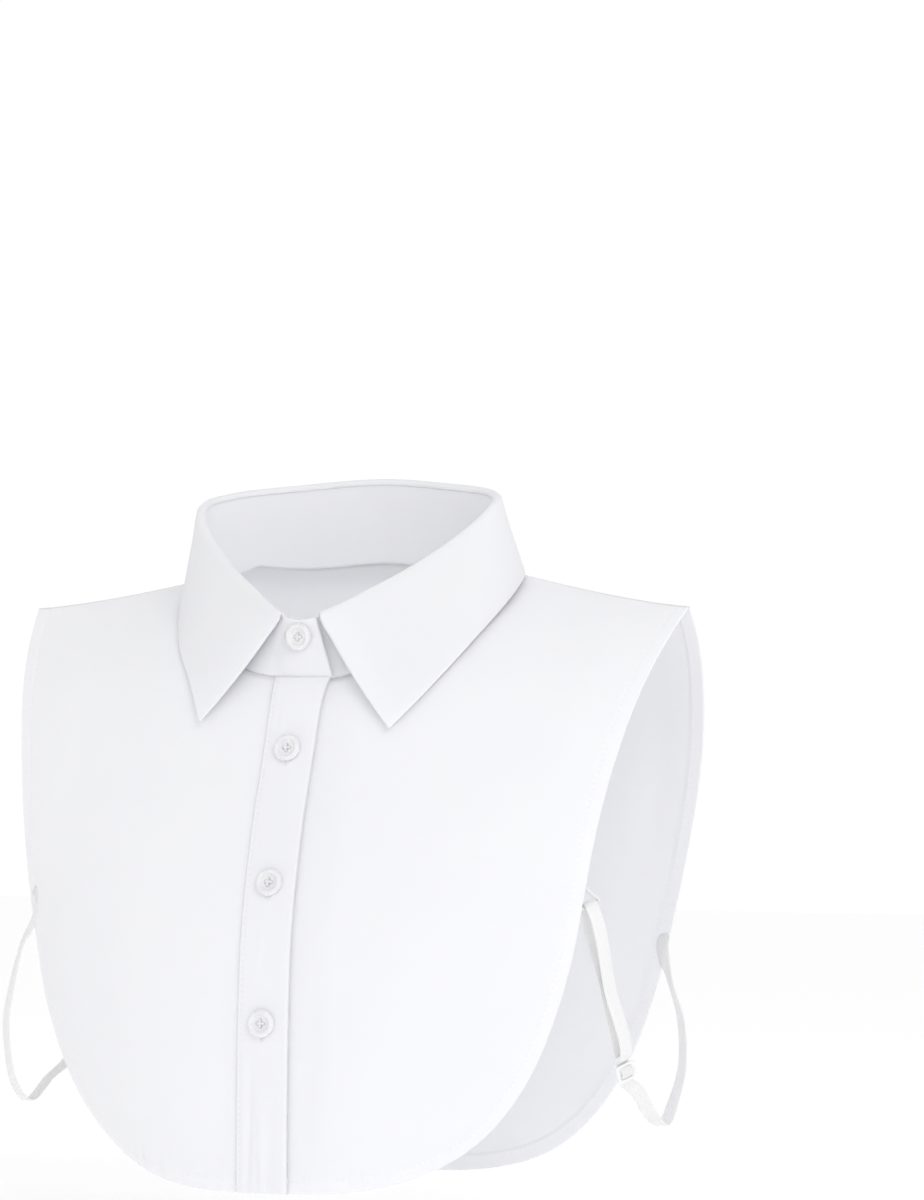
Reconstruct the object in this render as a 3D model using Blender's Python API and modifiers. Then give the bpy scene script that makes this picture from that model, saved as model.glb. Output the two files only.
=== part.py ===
"""A detachable shirt collar: the neck, shoulders and chest of a shirt, with no sleeves.

It is cut as two fronts and a back that meet on the shoulder line, a stand and a leaf round
the neck, a band with four buttons down the front, and an elastic strap under each arm. It is
shaped as it is worn, on a plain torso, and is hollow.

Units are metres. +X is the wearer's left, -Y is the front and +Z is up. The origin is the
middle of the neck, level with the ends of the shoulders.
"""

import bmesh
import bpy
import numpy as np
from mathutils import Matrix, Vector

COLLECTION = "detachable_shirt_collar"

# Cloth
CLOTH = 0.0012
BAND_CLOTH = 0.0010
SEAM_GAP = 0.0003
SHOULDER_SEAM_HALF_GAP = 0.0002
LAYER_GAP = 0.0004
PANEL_ROWS = 12
FRONT_COLUMNS = 26
BACK_COLUMNS = 28
BAND_COLUMNS = 5

# Shoulder line, from the middle of the body to its outer end
SHOULDER_HALF = 0.151
SHOULDER_NECK = 0.066
SHOULDER_RISE = 0.0160
SHOULDER_CURVE = 1.35
SHOULDER_TOP_ROUND = 0.015
SHOULDER_END_Y = 0.015
SHOULDER_MID_Y = 0.033

# How fast the cloth rounds over the shoulder, in front and behind
FRONT_ROUNDING = 0.040
BACK_ROUNDING = 0.027

# Torso that fills the garment: one row for each height, with the half width of the chest
# and how far forward and back the cloth lies on the middle line
WIDEST_Y = 0.015
TORSO_SQUARENESS = 2.5
BACK_HALF_WIDTH = 0.220
TORSO_ROWS = [
    {"height": 0.040, "chest_half": 0.177, "chest_y": -0.066, "back_y": 0.079},
    {"height": 0.000, "chest_half": 0.176, "chest_y": -0.066, "back_y": 0.087},
    {"height": -0.030, "chest_half": 0.175, "chest_y": -0.065, "back_y": 0.094},
    {"height": -0.060, "chest_half": 0.171, "chest_y": -0.064, "back_y": 0.101},
    {"height": -0.100, "chest_half": 0.155, "chest_y": -0.071, "back_y": 0.099},
    {"height": -0.140, "chest_half": 0.140, "chest_y": -0.0765, "back_y": 0.089},
    {"height": -0.175, "chest_half": 0.131, "chest_y": -0.077, "back_y": 0.079},
    {"height": -0.210, "chest_half": 0.114, "chest_y": -0.076, "back_y": 0.069},
    {"height": -0.260, "chest_half": 0.064, "chest_y": -0.074, "back_y": 0.066},
]

# Cut of the armhole and of the round hem
ARMHOLE_INNER = 0.100
ARMHOLE_SPREAD = 0.050
ARMHOLE_FALL = 0.170
HEM_START = 0.100
FRONT_HEM_SQUARENESS = 3.0
BACK_HEM_SQUARENESS = 3.5
FRONT_HEM_DEPTH = 0.144
BACK_HEM_DEPTH = 0.1415

EDGE_STRAIGHT_SAMPLES = 80
EDGE_TURN_SAMPLES = 160

# Neck seam, seen from above
NECK_HALF_WIDTH = 0.065
NECK_SIDE_Y = 0.006
NECK_FRONT_DEPTH = 0.0505
NECK_BACK_DEPTH = 0.041
NECK_SQUARENESS = 2.0
NECK_SAMPLES = 400

# How finely an edge is read before its places are spread evenly, and how the drop is solved
EDGE_COUNT = 1500
DROP_ROUNDS = 12
FULLEST_REACH = 0.98

# Collar: one row for each station from the centre front to the centre back, with the fold
# at the top of the collar and the leaf's lower edge, which starts at the collar point
COLLAR_ROWS = [
    {"fold": (0.0000, -0.0485, -0.0070), "edge": (0.0430, -0.0530, -0.0530)},
    {"fold": (0.0300, -0.0312, 0.0082), "edge": (0.0560, -0.0430, -0.0365)},
    {"fold": (0.0525, -0.0155, 0.0252), "edge": (0.0686, -0.0243, -0.0154)},
    {"fold": (0.0673, 0.0005, 0.0430), "edge": (0.0756, 0.0062, 0.0066)},
    {"fold": (0.0607, 0.0190, 0.0505), "edge": (0.0690, 0.0338, 0.0178)},
    {"fold": (0.0350, 0.0345, 0.0550), "edge": (0.0420, 0.0530, 0.0165)},
    {"fold": (0.0000, 0.0425, 0.0580), "edge": (0.0000, 0.0605, 0.0165)},
]

# The right leaf lies closer to the neck: its edge at the first three stations, as if mirrored
RIGHT_LEAF_EDGE = [
    (0.0422, -0.0526, -0.0508),
    (0.0507, -0.0431, -0.0350),
    (0.0650, -0.0242, -0.0153),
]

# Section over the fold, from the stand's top to the leaf: how far out and up from the fold
FOLD_SECTION = [
    (-0.0018, -0.0017),
    (-0.0012, -0.0005),
    (-0.0003, 0.0000),
    (0.0007, -0.0005),
    (0.0012, -0.0017),
]
FOLD_RISE_FRONT = 0.0026
FOLD_RISE_BACK = 0.0065
STAND_INSET = 0.0018
LEAF_START = 0.046
LEAF_FRONT_BELLY = 0.0015
LEAF_BELLY_REACH = 0.1
LEAF_COLUMNS = 61
LEAF_ROWS = (0.2, 0.4, 0.6, 0.8, 1.0)

# Front opening: the band, and the ends of the stand that button over each other
BAND_HALF = 0.0110
BAND_TOP_FLARE = 0.0027
BAND_FLARE_FALL = 0.0075
OVERLAP_EASE = 0.0060
STAND_END_TOP = 0.040
STAND_END_FOOT = 0.066
STAND_LIFT = 0.0006
STAND_OVERLAP_EASE = 0.28
STAND_COLUMNS = 64
STAND_ROWS = 4
STAND_FLARE = 0.0008

# Buttons: a dished disc with a raised rim and four holes, at heights on the middle line. The
# section gives the radius and the height above the back, from the middle out to the rim.
BUTTON_SECTION = [
    (0.0000, 0.0017),
    (0.0030, 0.0017),
    (0.0043, 0.0026),
    (0.0053, 0.0022),
    (0.00575, 0.0012),
    (0.0046, 0.0000),
]
BUTTON_SIDES = 20
BUTTON_HOLE_RADIUS = 0.0007
BUTTON_HOLE_SIDES = 8
BUTTON_HOLE_SPACING = 0.0015
DRILL_LENGTH = 0.01
BUTTON_SHARP_ANGLE = np.radians(40)
AHEAD_OF_CHEST = -0.3
STAND_BUTTON_HEIGHT = -0.0150
BAND_BUTTON_HEIGHTS = (-0.0620, -0.1175, -0.1750)

# Elastic straps. Each is sewn inside one panel's edge, hangs free, passes through a slider,
# runs up to a small loop on the other panel's edge and turns back down to the slider.
STRAP_WIDTH = 0.0060
STRAP_THICKNESS = 0.0010
STRAP_STEP = 0.0050
SEWN_HEIGHTS = (0.009, 0.0045, 0.0)
SEWN_INSETS = (0.0052, 0.0038, 0.0020)
SEWN_LIFTS = (0.0, 0.0004, 0.0015)
LOOP_RADIUS = 0.0008
LOOP_HALF_WIDTH = 0.0054
LOOP_LENGTH = 0.0090
LOOP_CORNER = 0.0018
LOOP_CORNER_STEPS = (0.0, 0.25, 0.5, 0.75, 1.0)
LOOP_INSET = 0.0012
LOOP_OUT = 0.0022
TURN_RADIUS = 0.0016
SLIDER_BAR = 0.0010
SLIDER_PITCH = 0.0035
SLIDER_SIDE = 0.0012
SLIDER_OPENING = 0.0072
SLIDER_WEAVE = 0.0017
RETURN_END = 0.0070
INSIDE_PANEL = 0.02

LEFT_STRAP = {
    "sewn_height": -0.141,
    "loop_height": -0.1165,
    "free": [
        {"point": (0.1240, 0.0770, -0.1560), "width": (0.66, -0.75, 0.0)},
        {"point": (0.1275, 0.0830, -0.1740), "width": (0.75, -0.65, 0.0)},
        {"point": (0.1300, 0.0785, -0.1920), "width": (0.78, -0.62, 0.0)},
        {"point": (0.1312, 0.0640, -0.2070), "width": (0.88, -0.45, 0.0)},
        {"point": (0.1322, 0.0455, -0.2172), "width": (1.00, 0.15, 0.0)},
        {"point": (0.1318, 0.0270, -0.2105), "width": (0.68, 0.73, 0.0)},
        {"point": (0.1315, 0.0125, -0.2015), "width": (0.52, 0.85, 0.0)},
    ],
    "slider": {"point": (0.1310, -0.0004, -0.1935), "width": (0.56, 0.82, 0.0)},
}
RIGHT_STRAP = {
    "sewn_height": -0.130,
    "loop_height": -0.1165,
    "free": [
        {"point": (-0.1320, -0.0335, -0.1470), "width": (0.60, -0.80, 0.0)},
        {"point": (-0.1376, -0.0300, -0.1635), "width": (0.72, -0.69, 0.0)},
        {"point": (-0.1412, -0.0275, -0.1790), "width": (0.78, -0.63, 0.0)},
        {"point": (-0.1413, -0.0250, -0.1930), "width": (0.78, -0.63, 0.0)},
        {"point": (-0.1402, -0.0205, -0.2060), "width": (0.85, -0.53, 0.0)},
        {"point": (-0.1385, -0.0105, -0.2135), "width": (0.92, -0.38, 0.0)},
        {"point": (-0.1350, 0.0030, -0.2045), "width": (0.95, -0.30, 0.0)},
    ],
    "slider": {"point": (-0.1292, 0.0159, -0.1885), "width": (1.00, 0.00, 0.0)},
}

LEFT = 1.0
RIGHT = -1.0
FRONT = -1.0
BACK = 1.0
MIRRORED = np.array([-1.0, 1.0, 1.0])

WHITE_CLOTH = (0.86, 0.87, 0.90, 1.0)
BUTTON_WHITE = (0.88, 0.88, 0.90, 1.0)
ELASTIC_WHITE = (0.80, 0.80, 0.81, 1.0)
CLOTH_ROUGHNESS = 0.85
BUTTON_ROUGHNESS = 0.3
ELASTIC_ROUGHNESS = 0.8
THREAD_ROUGHNESS = 0.6
SLIDER_ROUGHNESS = 0.35


def smooth_through(places, values, where):
    """Reads a smooth curve that passes through the given values, at other places along it."""
    places = np.asarray(places, dtype=float)
    values = np.asarray(values, dtype=float)
    where = np.asarray(where, dtype=float)
    slopes = np.gradient(values, places, axis=0)
    row = np.clip(np.searchsorted(places, where, side="right") - 1, 0, len(places) - 2)
    width = places[row + 1] - places[row]
    part = (where - places[row]) / width
    if values.ndim > 1:
        width = width[..., None]
        part = part[..., None]
    start_weight = 2 * part**3 - 3 * part**2 + 1
    end_weight = 3 * part**2 - 2 * part**3
    start_slope = part**3 - 2 * part**2 + part
    end_slope = part**3 - part**2
    return (
        start_weight * values[row]
        + end_weight * values[row + 1]
        + (start_slope * slopes[row] + end_slope * slopes[row + 1]) * width
    )


def unit(vectors):
    """The same directions with a length of 1."""
    vectors = np.asarray(vectors, dtype=float)
    return vectors / np.linalg.norm(vectors, axis=-1, keepdims=True)


def torso(column, height):
    """One column of the torso table at any height."""
    rows = sorted(TORSO_ROWS, key=lambda row: row["height"])
    heights = [row["height"] for row in rows]
    values = [row[column] for row in rows]
    return smooth_through(heights, values, np.clip(height, heights[0], heights[-1]))


def shoulder_line(x):
    """Depth and height of the shoulder line at a place across the body."""
    across = np.abs(x) / SHOULDER_HALF
    y = SHOULDER_END_Y + (SHOULDER_MID_Y - SHOULDER_END_Y) * (1 - across**2)
    end = np.hypot(SHOULDER_HALF, SHOULDER_TOP_ROUND)
    inward = np.clip(end - np.hypot(x, SHOULDER_TOP_ROUND), 0, None)
    z = SHOULDER_RISE * (inward / (SHOULDER_HALF - SHOULDER_NECK)) ** SHOULDER_CURVE
    return y, z


def filled_depth(x, height, side):
    """Depth of the torso's front or back at a place across the body."""
    half = np.where(side < 0, torso("chest_half", height), BACK_HALF_WIDTH)
    middle = np.where(side < 0, torso("chest_y", height), torso("back_y", height))
    across = np.clip(np.abs(x) / half, 0, 1)
    fullness = (1 - across**TORSO_SQUARENESS) ** (1 / TORSO_SQUARENESS)
    return WIDEST_Y + (middle - WIDEST_Y) * fullness


def worn(x, drop, side):
    """Inner face of the cloth at a place across the body and a drop below the shoulder."""
    x, drop = np.broadcast_arrays(np.asarray(x, dtype=float), np.asarray(drop, dtype=float))
    ridge_y, ridge_z = shoulder_line(x)
    rounding = FRONT_ROUNDING if side < 0 else BACK_ROUNDING
    height = ridge_z - drop
    reach = 1 - np.exp(-drop / rounding)
    y = ridge_y + (filled_depth(x, height, side) - ridge_y) * reach
    return np.stack([x, y, height], axis=-1)


def outward(x, drop, side):
    """Unit direction out of the cloth at the same place as worn()."""
    step = 0.0005
    along_x = worn(x + step, drop, side) - worn(x - step, drop, side)
    along_drop = worn(x, drop + step, side) - worn(x, drop, side)
    normal = np.cross(along_x, along_drop)
    normal = np.where(normal[..., 1:2] * side < 0, -normal, normal)
    return unit(normal)


def drop_at(x, y, side):
    """Drop below the shoulder line at which the cloth lies at the depth y."""
    ridge_y, ridge_z = shoulder_line(x)
    rounding = FRONT_ROUNDING if side < 0 else BACK_ROUNDING
    drop = np.zeros_like(x)
    for _ in range(DROP_ROUNDS):
        reach = (y - ridge_y) / (filled_depth(x, ridge_z - drop, side) - ridge_y)
        drop = -rounding * np.log(1 - np.clip(reach, 0, FULLEST_REACH))
    return drop


def evenly(points, side, count):
    """Places an even distance apart along a line given across the body and down it."""
    solid = worn(points[:, 0], points[:, 1], side)
    lengths = np.linalg.norm(np.diff(solid, axis=0), axis=1)
    travelled = np.concatenate([[0], np.cumsum(lengths)])
    wanted = np.linspace(0, travelled[-1], count)
    x = np.interp(wanted, travelled, points[:, 0])
    drop = np.interp(wanted, travelled, points[:, 1])
    return np.stack([x, drop], axis=-1)


def armhole_and_hem(side, count):
    """Edge of one half of a panel, from the end of the shoulder round to the middle line."""
    depth = FRONT_HEM_DEPTH if side < 0 else BACK_HEM_DEPTH
    squareness = FRONT_HEM_SQUARENESS if side < 0 else BACK_HEM_SQUARENESS
    straight = np.linspace(0, HEM_START, EDGE_STRAIGHT_SAMPLES)[:-1]
    turn = np.linspace(0, np.pi / 2, EDGE_TURN_SAMPLES)
    power = 2 / squareness
    fall = np.concatenate([straight, HEM_START + depth * np.sin(turn) ** power])
    narrowing = np.concatenate([np.ones_like(straight), np.cos(turn).clip(0) ** power])
    x = (ARMHOLE_INNER + ARMHOLE_SPREAD * np.exp(-fall / ARMHOLE_FALL)) * narrowing
    drop = fall + shoulder_line(x)[1]
    return evenly(np.stack([x, drop], axis=-1), side, count)


def neck_plan(turn):
    """Neck seam seen from above; a turn of 0 is the centre front and pi the centre back."""
    power = 2 / NECK_SQUARENESS
    depth = np.where(np.cos(turn) > 0, NECK_FRONT_DEPTH, NECK_BACK_DEPTH)
    x = NECK_HALF_WIDTH * np.sign(np.sin(turn)) * np.abs(np.sin(turn)) ** power
    y = NECK_SIDE_Y - depth * np.sign(np.cos(turn)) * np.abs(np.cos(turn)) ** power
    return x, y


def neck_edge(side, count):
    """Neck edge of one half of a panel, from the shoulder line to the middle line."""
    turn = np.linspace(0, np.pi, NECK_SAMPLES)
    x, y = neck_plan(turn)
    ridge_y = shoulder_line(x)[0]
    own = y <= ridge_y if side < 0 else y >= ridge_y
    x = x[own]
    y = y[own]
    points = np.stack([x, drop_at(x, y, side)], axis=-1)
    if side < 0:
        points = points[::-1]
    points[0, 1] = 0.0
    return evenly(points, side, count)


def up_to(points, x_limit):
    """Cuts a half edge off where it comes within x_limit of the middle line."""
    row = int(np.argmax(points[:, 0] < x_limit))
    before = points[row - 1]
    after = points[row]
    part = (before[0] - x_limit) / (before[0] - after[0])
    return np.vstack([points[:row], before + (after - before) * part])


def between_edges(neck, outer, rows):
    """Places over a panel, in columns from its neck edge to its outer edge.

    The columns are straight in the square root of the drop, so that the steps are even over
    the shoulder.
    """
    steps = np.linspace(0, 1, rows)[None, :]
    x = neck[:, None, 0] + (outer[:, None, 0] - neck[:, None, 0]) * steps
    root = np.sqrt(neck[:, None, 1]) * (1 - steps) + np.sqrt(outer[:, None, 1]) * steps
    return x, root**2


def front_places(columns, rows, middle_columns):
    """Places over one front, which runs on over the middle line to its free edge.

    The free edge spreads out at the top, where it meets the end of the stand.
    """
    neck = neck_edge(FRONT, EDGE_COUNT)
    outer = armhole_and_hem(FRONT, EDGE_COUNT)
    middle_x = np.linspace(BAND_HALF, -BAND_HALF, middle_columns)[1:]
    past_middle = np.clip(-middle_x / BAND_HALF, 0, 1)
    neck_x = middle_x - BAND_TOP_FLARE * past_middle
    neck_drop = np.interp(np.abs(neck_x), neck[::-1, 0], neck[::-1, 1])
    outer_drop = np.interp(np.abs(middle_x), outer[::-1, 0], outer[::-1, 1])
    own_neck = evenly(up_to(neck, BAND_HALF), FRONT, columns)
    own_outer = evenly(up_to(outer, BAND_HALF), FRONT, columns)
    own_x, own_drop = between_edges(own_neck, own_outer, rows)
    middle_neck = np.stack([middle_x, neck_drop], axis=-1)
    middle_outer = np.stack([middle_x, outer_drop], axis=-1)
    _, middle_drop = between_edges(middle_neck, middle_outer, rows)
    fading = np.exp(-(middle_drop - neck_drop[:, None]) / BAND_FLARE_FALL)
    spread_x = middle_x[:, None] - BAND_TOP_FLARE * past_middle[:, None] * fading
    return np.vstack([own_x, spread_x]), np.vstack([own_drop, middle_drop])


def collar_table(column):
    """Stations round the neck and the points of one column of the collar's rows at them."""
    points = np.array([row[column] for row in COLLAR_ROWS])
    right_points = points.copy()
    if column == "edge":
        right_points[: len(RIGHT_LEAF_EDGE)] = RIGHT_LEAF_EDGE
    stations = np.linspace(0, 1, len(COLLAR_ROWS))
    all_stations = np.concatenate([stations, 2 - stations[-2::-1]])
    all_points = np.vstack([points, right_points[-2::-1] * MIRRORED])
    return all_stations, all_points


def fold_at(station):
    """Point on the collar's fold; 0 is the centre front, 1 the centre back, 2 the front again."""
    stations, points = collar_table("fold")
    stations = np.concatenate([stations[-4:-1] - 2, stations, stations[1:4] + 2])
    points = np.vstack([points[-4:-1], points, points[1:4]])
    return smooth_through(stations, points, station)


def leaf_edge_at(station):
    """Point on the leaf's lower edge; 0 is the left collar point and 2 the right one."""
    stations, points = collar_table("edge")
    return smooth_through(stations, points, station)


def neck_seam_at(station):
    """Point on the neck seam on the panels' inner face, and the direction out of the cloth."""
    turn = np.pi * np.asarray(station, dtype=float)
    x, y = neck_plan(turn)
    front_drop = drop_at(x, y, FRONT)
    back_drop = drop_at(x, y, BACK)
    ahead = (y <= shoulder_line(x)[0])[..., None]
    point = np.where(ahead, worn(x, front_drop, FRONT), worn(x, back_drop, BACK))
    facing = np.where(ahead, outward(x, front_drop, FRONT), outward(x, back_drop, BACK))
    return point, facing


def collar_frame(station):
    """Foot of the stand, its upward direction, its outward direction and the fold."""
    seam, facing = neck_seam_at(station)
    fold = fold_at(station)
    upward = unit(fold - seam)
    lift = SEAM_GAP + CLOTH * np.abs(facing[..., 2:3]) + STAND_LIFT
    foot = seam + upward * lift
    step = 0.004
    along = fold_at(station + step) - fold_at(station - step)
    out = unit(np.cross(upward, along))
    away_from_neck = (out[..., :2] * fold[..., :2]).sum(-1, keepdims=True)
    out = np.where(away_from_neck < 0, -out, out)
    return foot, upward, out, fold


def overlap_shift(station):
    """How far the stand's end lies outside or inside the other where the two overlap."""
    half_step = (CLOTH + LAYER_GAP) / 2
    left_end = np.clip(station / STAND_OVERLAP_EASE, 0, 1)
    right_end = np.clip((2.0 - station) / STAND_OVERLAP_EASE, 0, 1)
    inside = 0.5 + 0.5 * np.cos(np.pi * left_end)
    outside = 0.5 + 0.5 * np.cos(np.pi * right_end)
    return (half_step * (outside - inside))[..., None]


def fold_rise(station):
    """Height of the fold above the top of the stand, which grows from the front to the back."""
    way_round = 0.5 - 0.5 * np.cos(np.pi * np.clip(np.abs(station), 0, 2))
    rise = FOLD_RISE_FRONT + (FOLD_RISE_BACK - FOLD_RISE_FRONT) * way_round**0.5
    return rise[..., None]


def grid_mesh(name, grid):
    """Mesh of one open surface over a grid of points."""
    columns, rows = grid.shape[:2]
    index = np.arange(columns * rows).reshape(columns, rows)
    corners = [index[:-1, :-1], index[1:, :-1], index[1:, 1:], index[:-1, 1:]]
    faces = np.stack(corners, axis=-1).reshape(-1, 4)
    mesh = bpy.data.meshes.new(name)
    mesh.from_pydata(grid.reshape(-1, 3).tolist(), [], faces.tolist())
    mesh.update()
    return mesh


def face_away_from(mesh, line_height):
    """Turns an open surface over if its faces look inwards.

    They are judged from the body's upright middle line, level with each face, or from the
    one point of that line at line_height.
    """
    total = 0.0
    for polygon in mesh.polygons:
        height = polygon.center.z if line_height is None else line_height
        total += polygon.normal.dot(polygon.center - Vector((0.0, WIDEST_Y, height))) * polygon.area
    if total < 0:
        mesh.flip_normals()


def material(name, colour, roughness):
    """Principled material with a plain colour."""
    made = bpy.data.materials.new(name)
    made.use_nodes = True
    shader = made.node_tree.nodes["Principled BSDF"]
    shader.inputs["Base Color"].default_value = colour
    shader.inputs["Roughness"].default_value = roughness
    shader.inputs["Metallic"].default_value = 0.0
    return made


def place(name, mesh, collection, colour, roughness):
    """Object for a mesh, in a collection, with its own material and smooth faces."""
    made = bpy.data.objects.new(name, mesh)
    collection.objects.link(made)
    mesh.materials.append(material(name, colour, roughness))
    mesh.shade_smooth()
    return made


def wall(name, grid, thickness, offset, line_height, collection):
    """Closed wall of cloth over a grid of points.

    An offset of 1 puts it outside the grid, and 0 puts it half on each side.
    """
    mesh = grid_mesh(name, grid)
    face_away_from(mesh, line_height)
    piece = place(name, mesh, collection, WHITE_CLOTH, CLOTH_ROUGHNESS)
    solid = piece.modifiers.new("Wall", "SOLIDIFY")
    solid.thickness = thickness
    solid.offset = offset
    solid.use_even_offset = True
    solid.use_rim = True
    return piece


def make_fronts(collection):
    """The two fronts and the band; the right front lies over the left one down the middle."""
    x, drop = front_places(FRONT_COLUMNS, PANEL_ROWS, BAND_COLUMNS)
    cloth = worn(x, drop, FRONT)
    cloth[0, :, 1] -= SHOULDER_SEAM_HALF_GAP
    facing = outward(x, drop, FRONT)
    on_top = CLOTH + LAYER_GAP
    past_band = np.clip((x - BAND_HALF - BAND_TOP_FLARE) / OVERLAP_EASE, 0, 1)
    dip = on_top * (1 - past_band**2 * (3 - 2 * past_band))
    left_cloth = cloth - facing * dip[..., None]
    right_cloth = cloth * MIRRORED
    band_cloth = (cloth + facing * on_top)[-BAND_COLUMNS:] * MIRRORED
    left = wall("front_left", left_cloth, CLOTH, 1.0, None, collection)
    right = wall("front_right", right_cloth, CLOTH, 1.0, None, collection)
    band = wall("front_band", band_cloth, BAND_CLOTH, 1.0, None, collection)
    return left, right, band


def make_back(collection):
    """The back, in one piece from armhole to armhole."""
    neck = neck_edge(BACK, BACK_COLUMNS)
    outer = armhole_and_hem(BACK, BACK_COLUMNS)
    x, drop = between_edges(neck, outer, PANEL_ROWS)
    half = worn(x, drop, BACK)
    half[0, :, 1] += SHOULDER_SEAM_HALF_GAP
    other_half = (half * MIRRORED)[-2::-1]
    return wall("back", np.concatenate([half, other_half]), CLOTH, 1.0, None, collection)


def make_stand(collection):
    """The stand, a band round the neck whose right end buttons over its left one."""
    top_stations = np.linspace(-STAND_END_TOP, 2 + STAND_END_TOP, STAND_COLUMNS)
    foot_stations = np.linspace(-STAND_END_FOOT, 2 + STAND_END_FOOT, STAND_COLUMNS)
    foot, _, foot_out, _ = collar_frame(foot_stations)
    _, upward, out, fold = collar_frame(top_stations)
    top = fold - upward * fold_rise(top_stations) - out * STAND_INSET
    foot = foot + foot_out * overlap_shift(foot_stations)
    top = top + out * overlap_shift(top_stations)
    near_right_end = np.clip((foot_stations - 2.0) / STAND_END_FOOT, 0, 1)[:, None]
    foot = foot + foot_out * STAND_FLARE * near_right_end
    steps = np.linspace(0, 1, STAND_ROWS)[None, :, None]
    grid = foot[:, None] * (1 - steps) + top[:, None] * steps
    return wall("collar_stand", grid, CLOTH, 0.0, None, collection)


def make_leaf(collection):
    """The leaf: up from the stand, over the fold, and down to its edge and two points."""
    along = np.linspace(0, 2, LEAF_COLUMNS)
    stations = LEAF_START + (1 - LEAF_START) * along
    _, upward, out, fold = collar_frame(stations)
    edge = leaf_edge_at(along)
    shift = overlap_shift(stations) * out
    sections = [fold - upward * (fold_rise(stations) - LAYER_GAP) - out * STAND_INSET + shift]
    for outwards, upwards in FOLD_SECTION:
        on_stand = np.clip(-outwards / STAND_INSET, 0, 1)
        sections.append(fold + out * outwards + upward * upwards + shift * on_stand)
    crease = sections[-1]
    from_front = np.minimum(along, 2 - along)[:, None]
    towards_middle = np.where(along[:, None] < 1, -1.0, 1.0) * np.array([1.0, 0.0, 0.0])
    for part in LEAF_ROWS:
        belly = LEAF_FRONT_BELLY * 4 * part * (1 - part) * np.exp(-from_front / LEAF_BELLY_REACH)
        sections.append(crease * (1 - part) + edge * part + towards_middle * belly)
    grid = np.stack(sections, axis=1)
    return wall("collar_leaf", grid, CLOTH, 0.0, 0.0, collection)


def line_meets(piece, start, direction):
    """Where a line from a point first meets a finished piece, and which way its face looks."""
    bpy.context.view_layer.update()
    finished = piece.evaluated_get(bpy.context.evaluated_depsgraph_get())
    hit, where, facing, _ = finished.ray_cast(Vector(start), Vector(direction))
    if not hit:
        raise ValueError("the line misses " + piece.name)
    return np.array(where), np.array(facing)


def button_mesh(cutters):
    """A turned disc with four holes, its back on the plane z = 0."""
    outline = bpy.data.meshes.new("button_outline")
    points = [(radius, 0.0, height) for radius, height in BUTTON_SECTION]
    points.append((0.0, 0.0, 0.0))
    edges = [(row, row + 1) for row in range(len(points) - 1)]
    outline.from_pydata(points, edges, [])
    blank = bpy.data.objects.new("button_blank", outline)
    cutters.objects.link(blank)
    turned = blank.modifiers.new("Turn", "SCREW")
    turned.steps = BUTTON_SIDES
    turned.render_steps = BUTTON_SIDES
    turned.use_merge_vertices = True
    turned.merge_threshold = 0.00001
    drills = bmesh.new()
    for across, up in ((1, 0), (0, 1), (-1, 0), (0, -1)):
        centre = (across * BUTTON_HOLE_SPACING, up * BUTTON_HOLE_SPACING, 0.0)
        bmesh.ops.create_cone(
            drills,
            cap_ends=True,
            segments=BUTTON_HOLE_SIDES,
            radius1=BUTTON_HOLE_RADIUS,
            radius2=BUTTON_HOLE_RADIUS,
            depth=DRILL_LENGTH,
            matrix=Matrix.Translation(centre),
        )
    drill_mesh = bpy.data.meshes.new("button_drills")
    drills.to_mesh(drill_mesh)
    drills.free()
    drill = bpy.data.objects.new("button_drills", drill_mesh)
    cutters.objects.link(drill)
    holes = blank.modifiers.new("Holes", "BOOLEAN")
    holes.operation = "DIFFERENCE"
    holes.object = drill
    holes.solver = "EXACT"
    bpy.context.view_layer.update()
    finished = blank.evaluated_get(bpy.context.evaluated_depsgraph_get())
    made = bpy.data.meshes.new_from_object(finished)
    made.name = "button"
    for guide in (blank, drill):
        guide.hide_render = True
        guide.display_type = "WIRE"
    return made


def make_buttons(collection, cutters, stand, band):
    """Four buttons on the middle line: one on the stand and three on the band."""
    seats = [("button_collar", stand, STAND_BUTTON_HEIGHT)]
    for number, height in enumerate(BAND_BUTTON_HEIGHTS, start=1):
        seats.append(("button_front_%d" % number, band, height))
    shape = button_mesh(cutters)
    for name, cloth, height in seats:
        where, facing = line_meets(cloth, (0.0, AHEAD_OF_CHEST, height), (0.0, 1.0, 0.0))
        button = place(name, shape.copy(), collection, BUTTON_WHITE, BUTTON_ROUGHNESS)
        button.data.set_sharp_from_angle(angle=BUTTON_SHARP_ANGLE)
        button.location = where + facing * SEAM_GAP
        button.rotation_euler = Vector(facing).to_track_quat("Z", "Y").to_euler()


def under_edge(panel, side, hand, height, inset):
    """Place for the tape's middle inside a panel, near its outer edge, and the way out."""
    edge = armhole_and_hem(side, EDGE_COUNT)
    edge_height = shoulder_line(edge[:, 0])[1] - edge[:, 1]
    edge_x = np.interp(-height, -edge_height, edge[:, 0])
    x = edge_x - inset
    drop = shoulder_line(x)[1] - height
    facing = outward(x, drop, side) * (MIRRORED if hand < 0 else 1.0)
    surface = worn(x, drop, side) * (MIRRORED if hand < 0 else 1.0)
    met, _ = line_meets(panel, surface - facing * INSIDE_PANEL, facing)
    return met - facing * (SEAM_GAP + STRAP_THICKNESS / 2), facing


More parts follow.
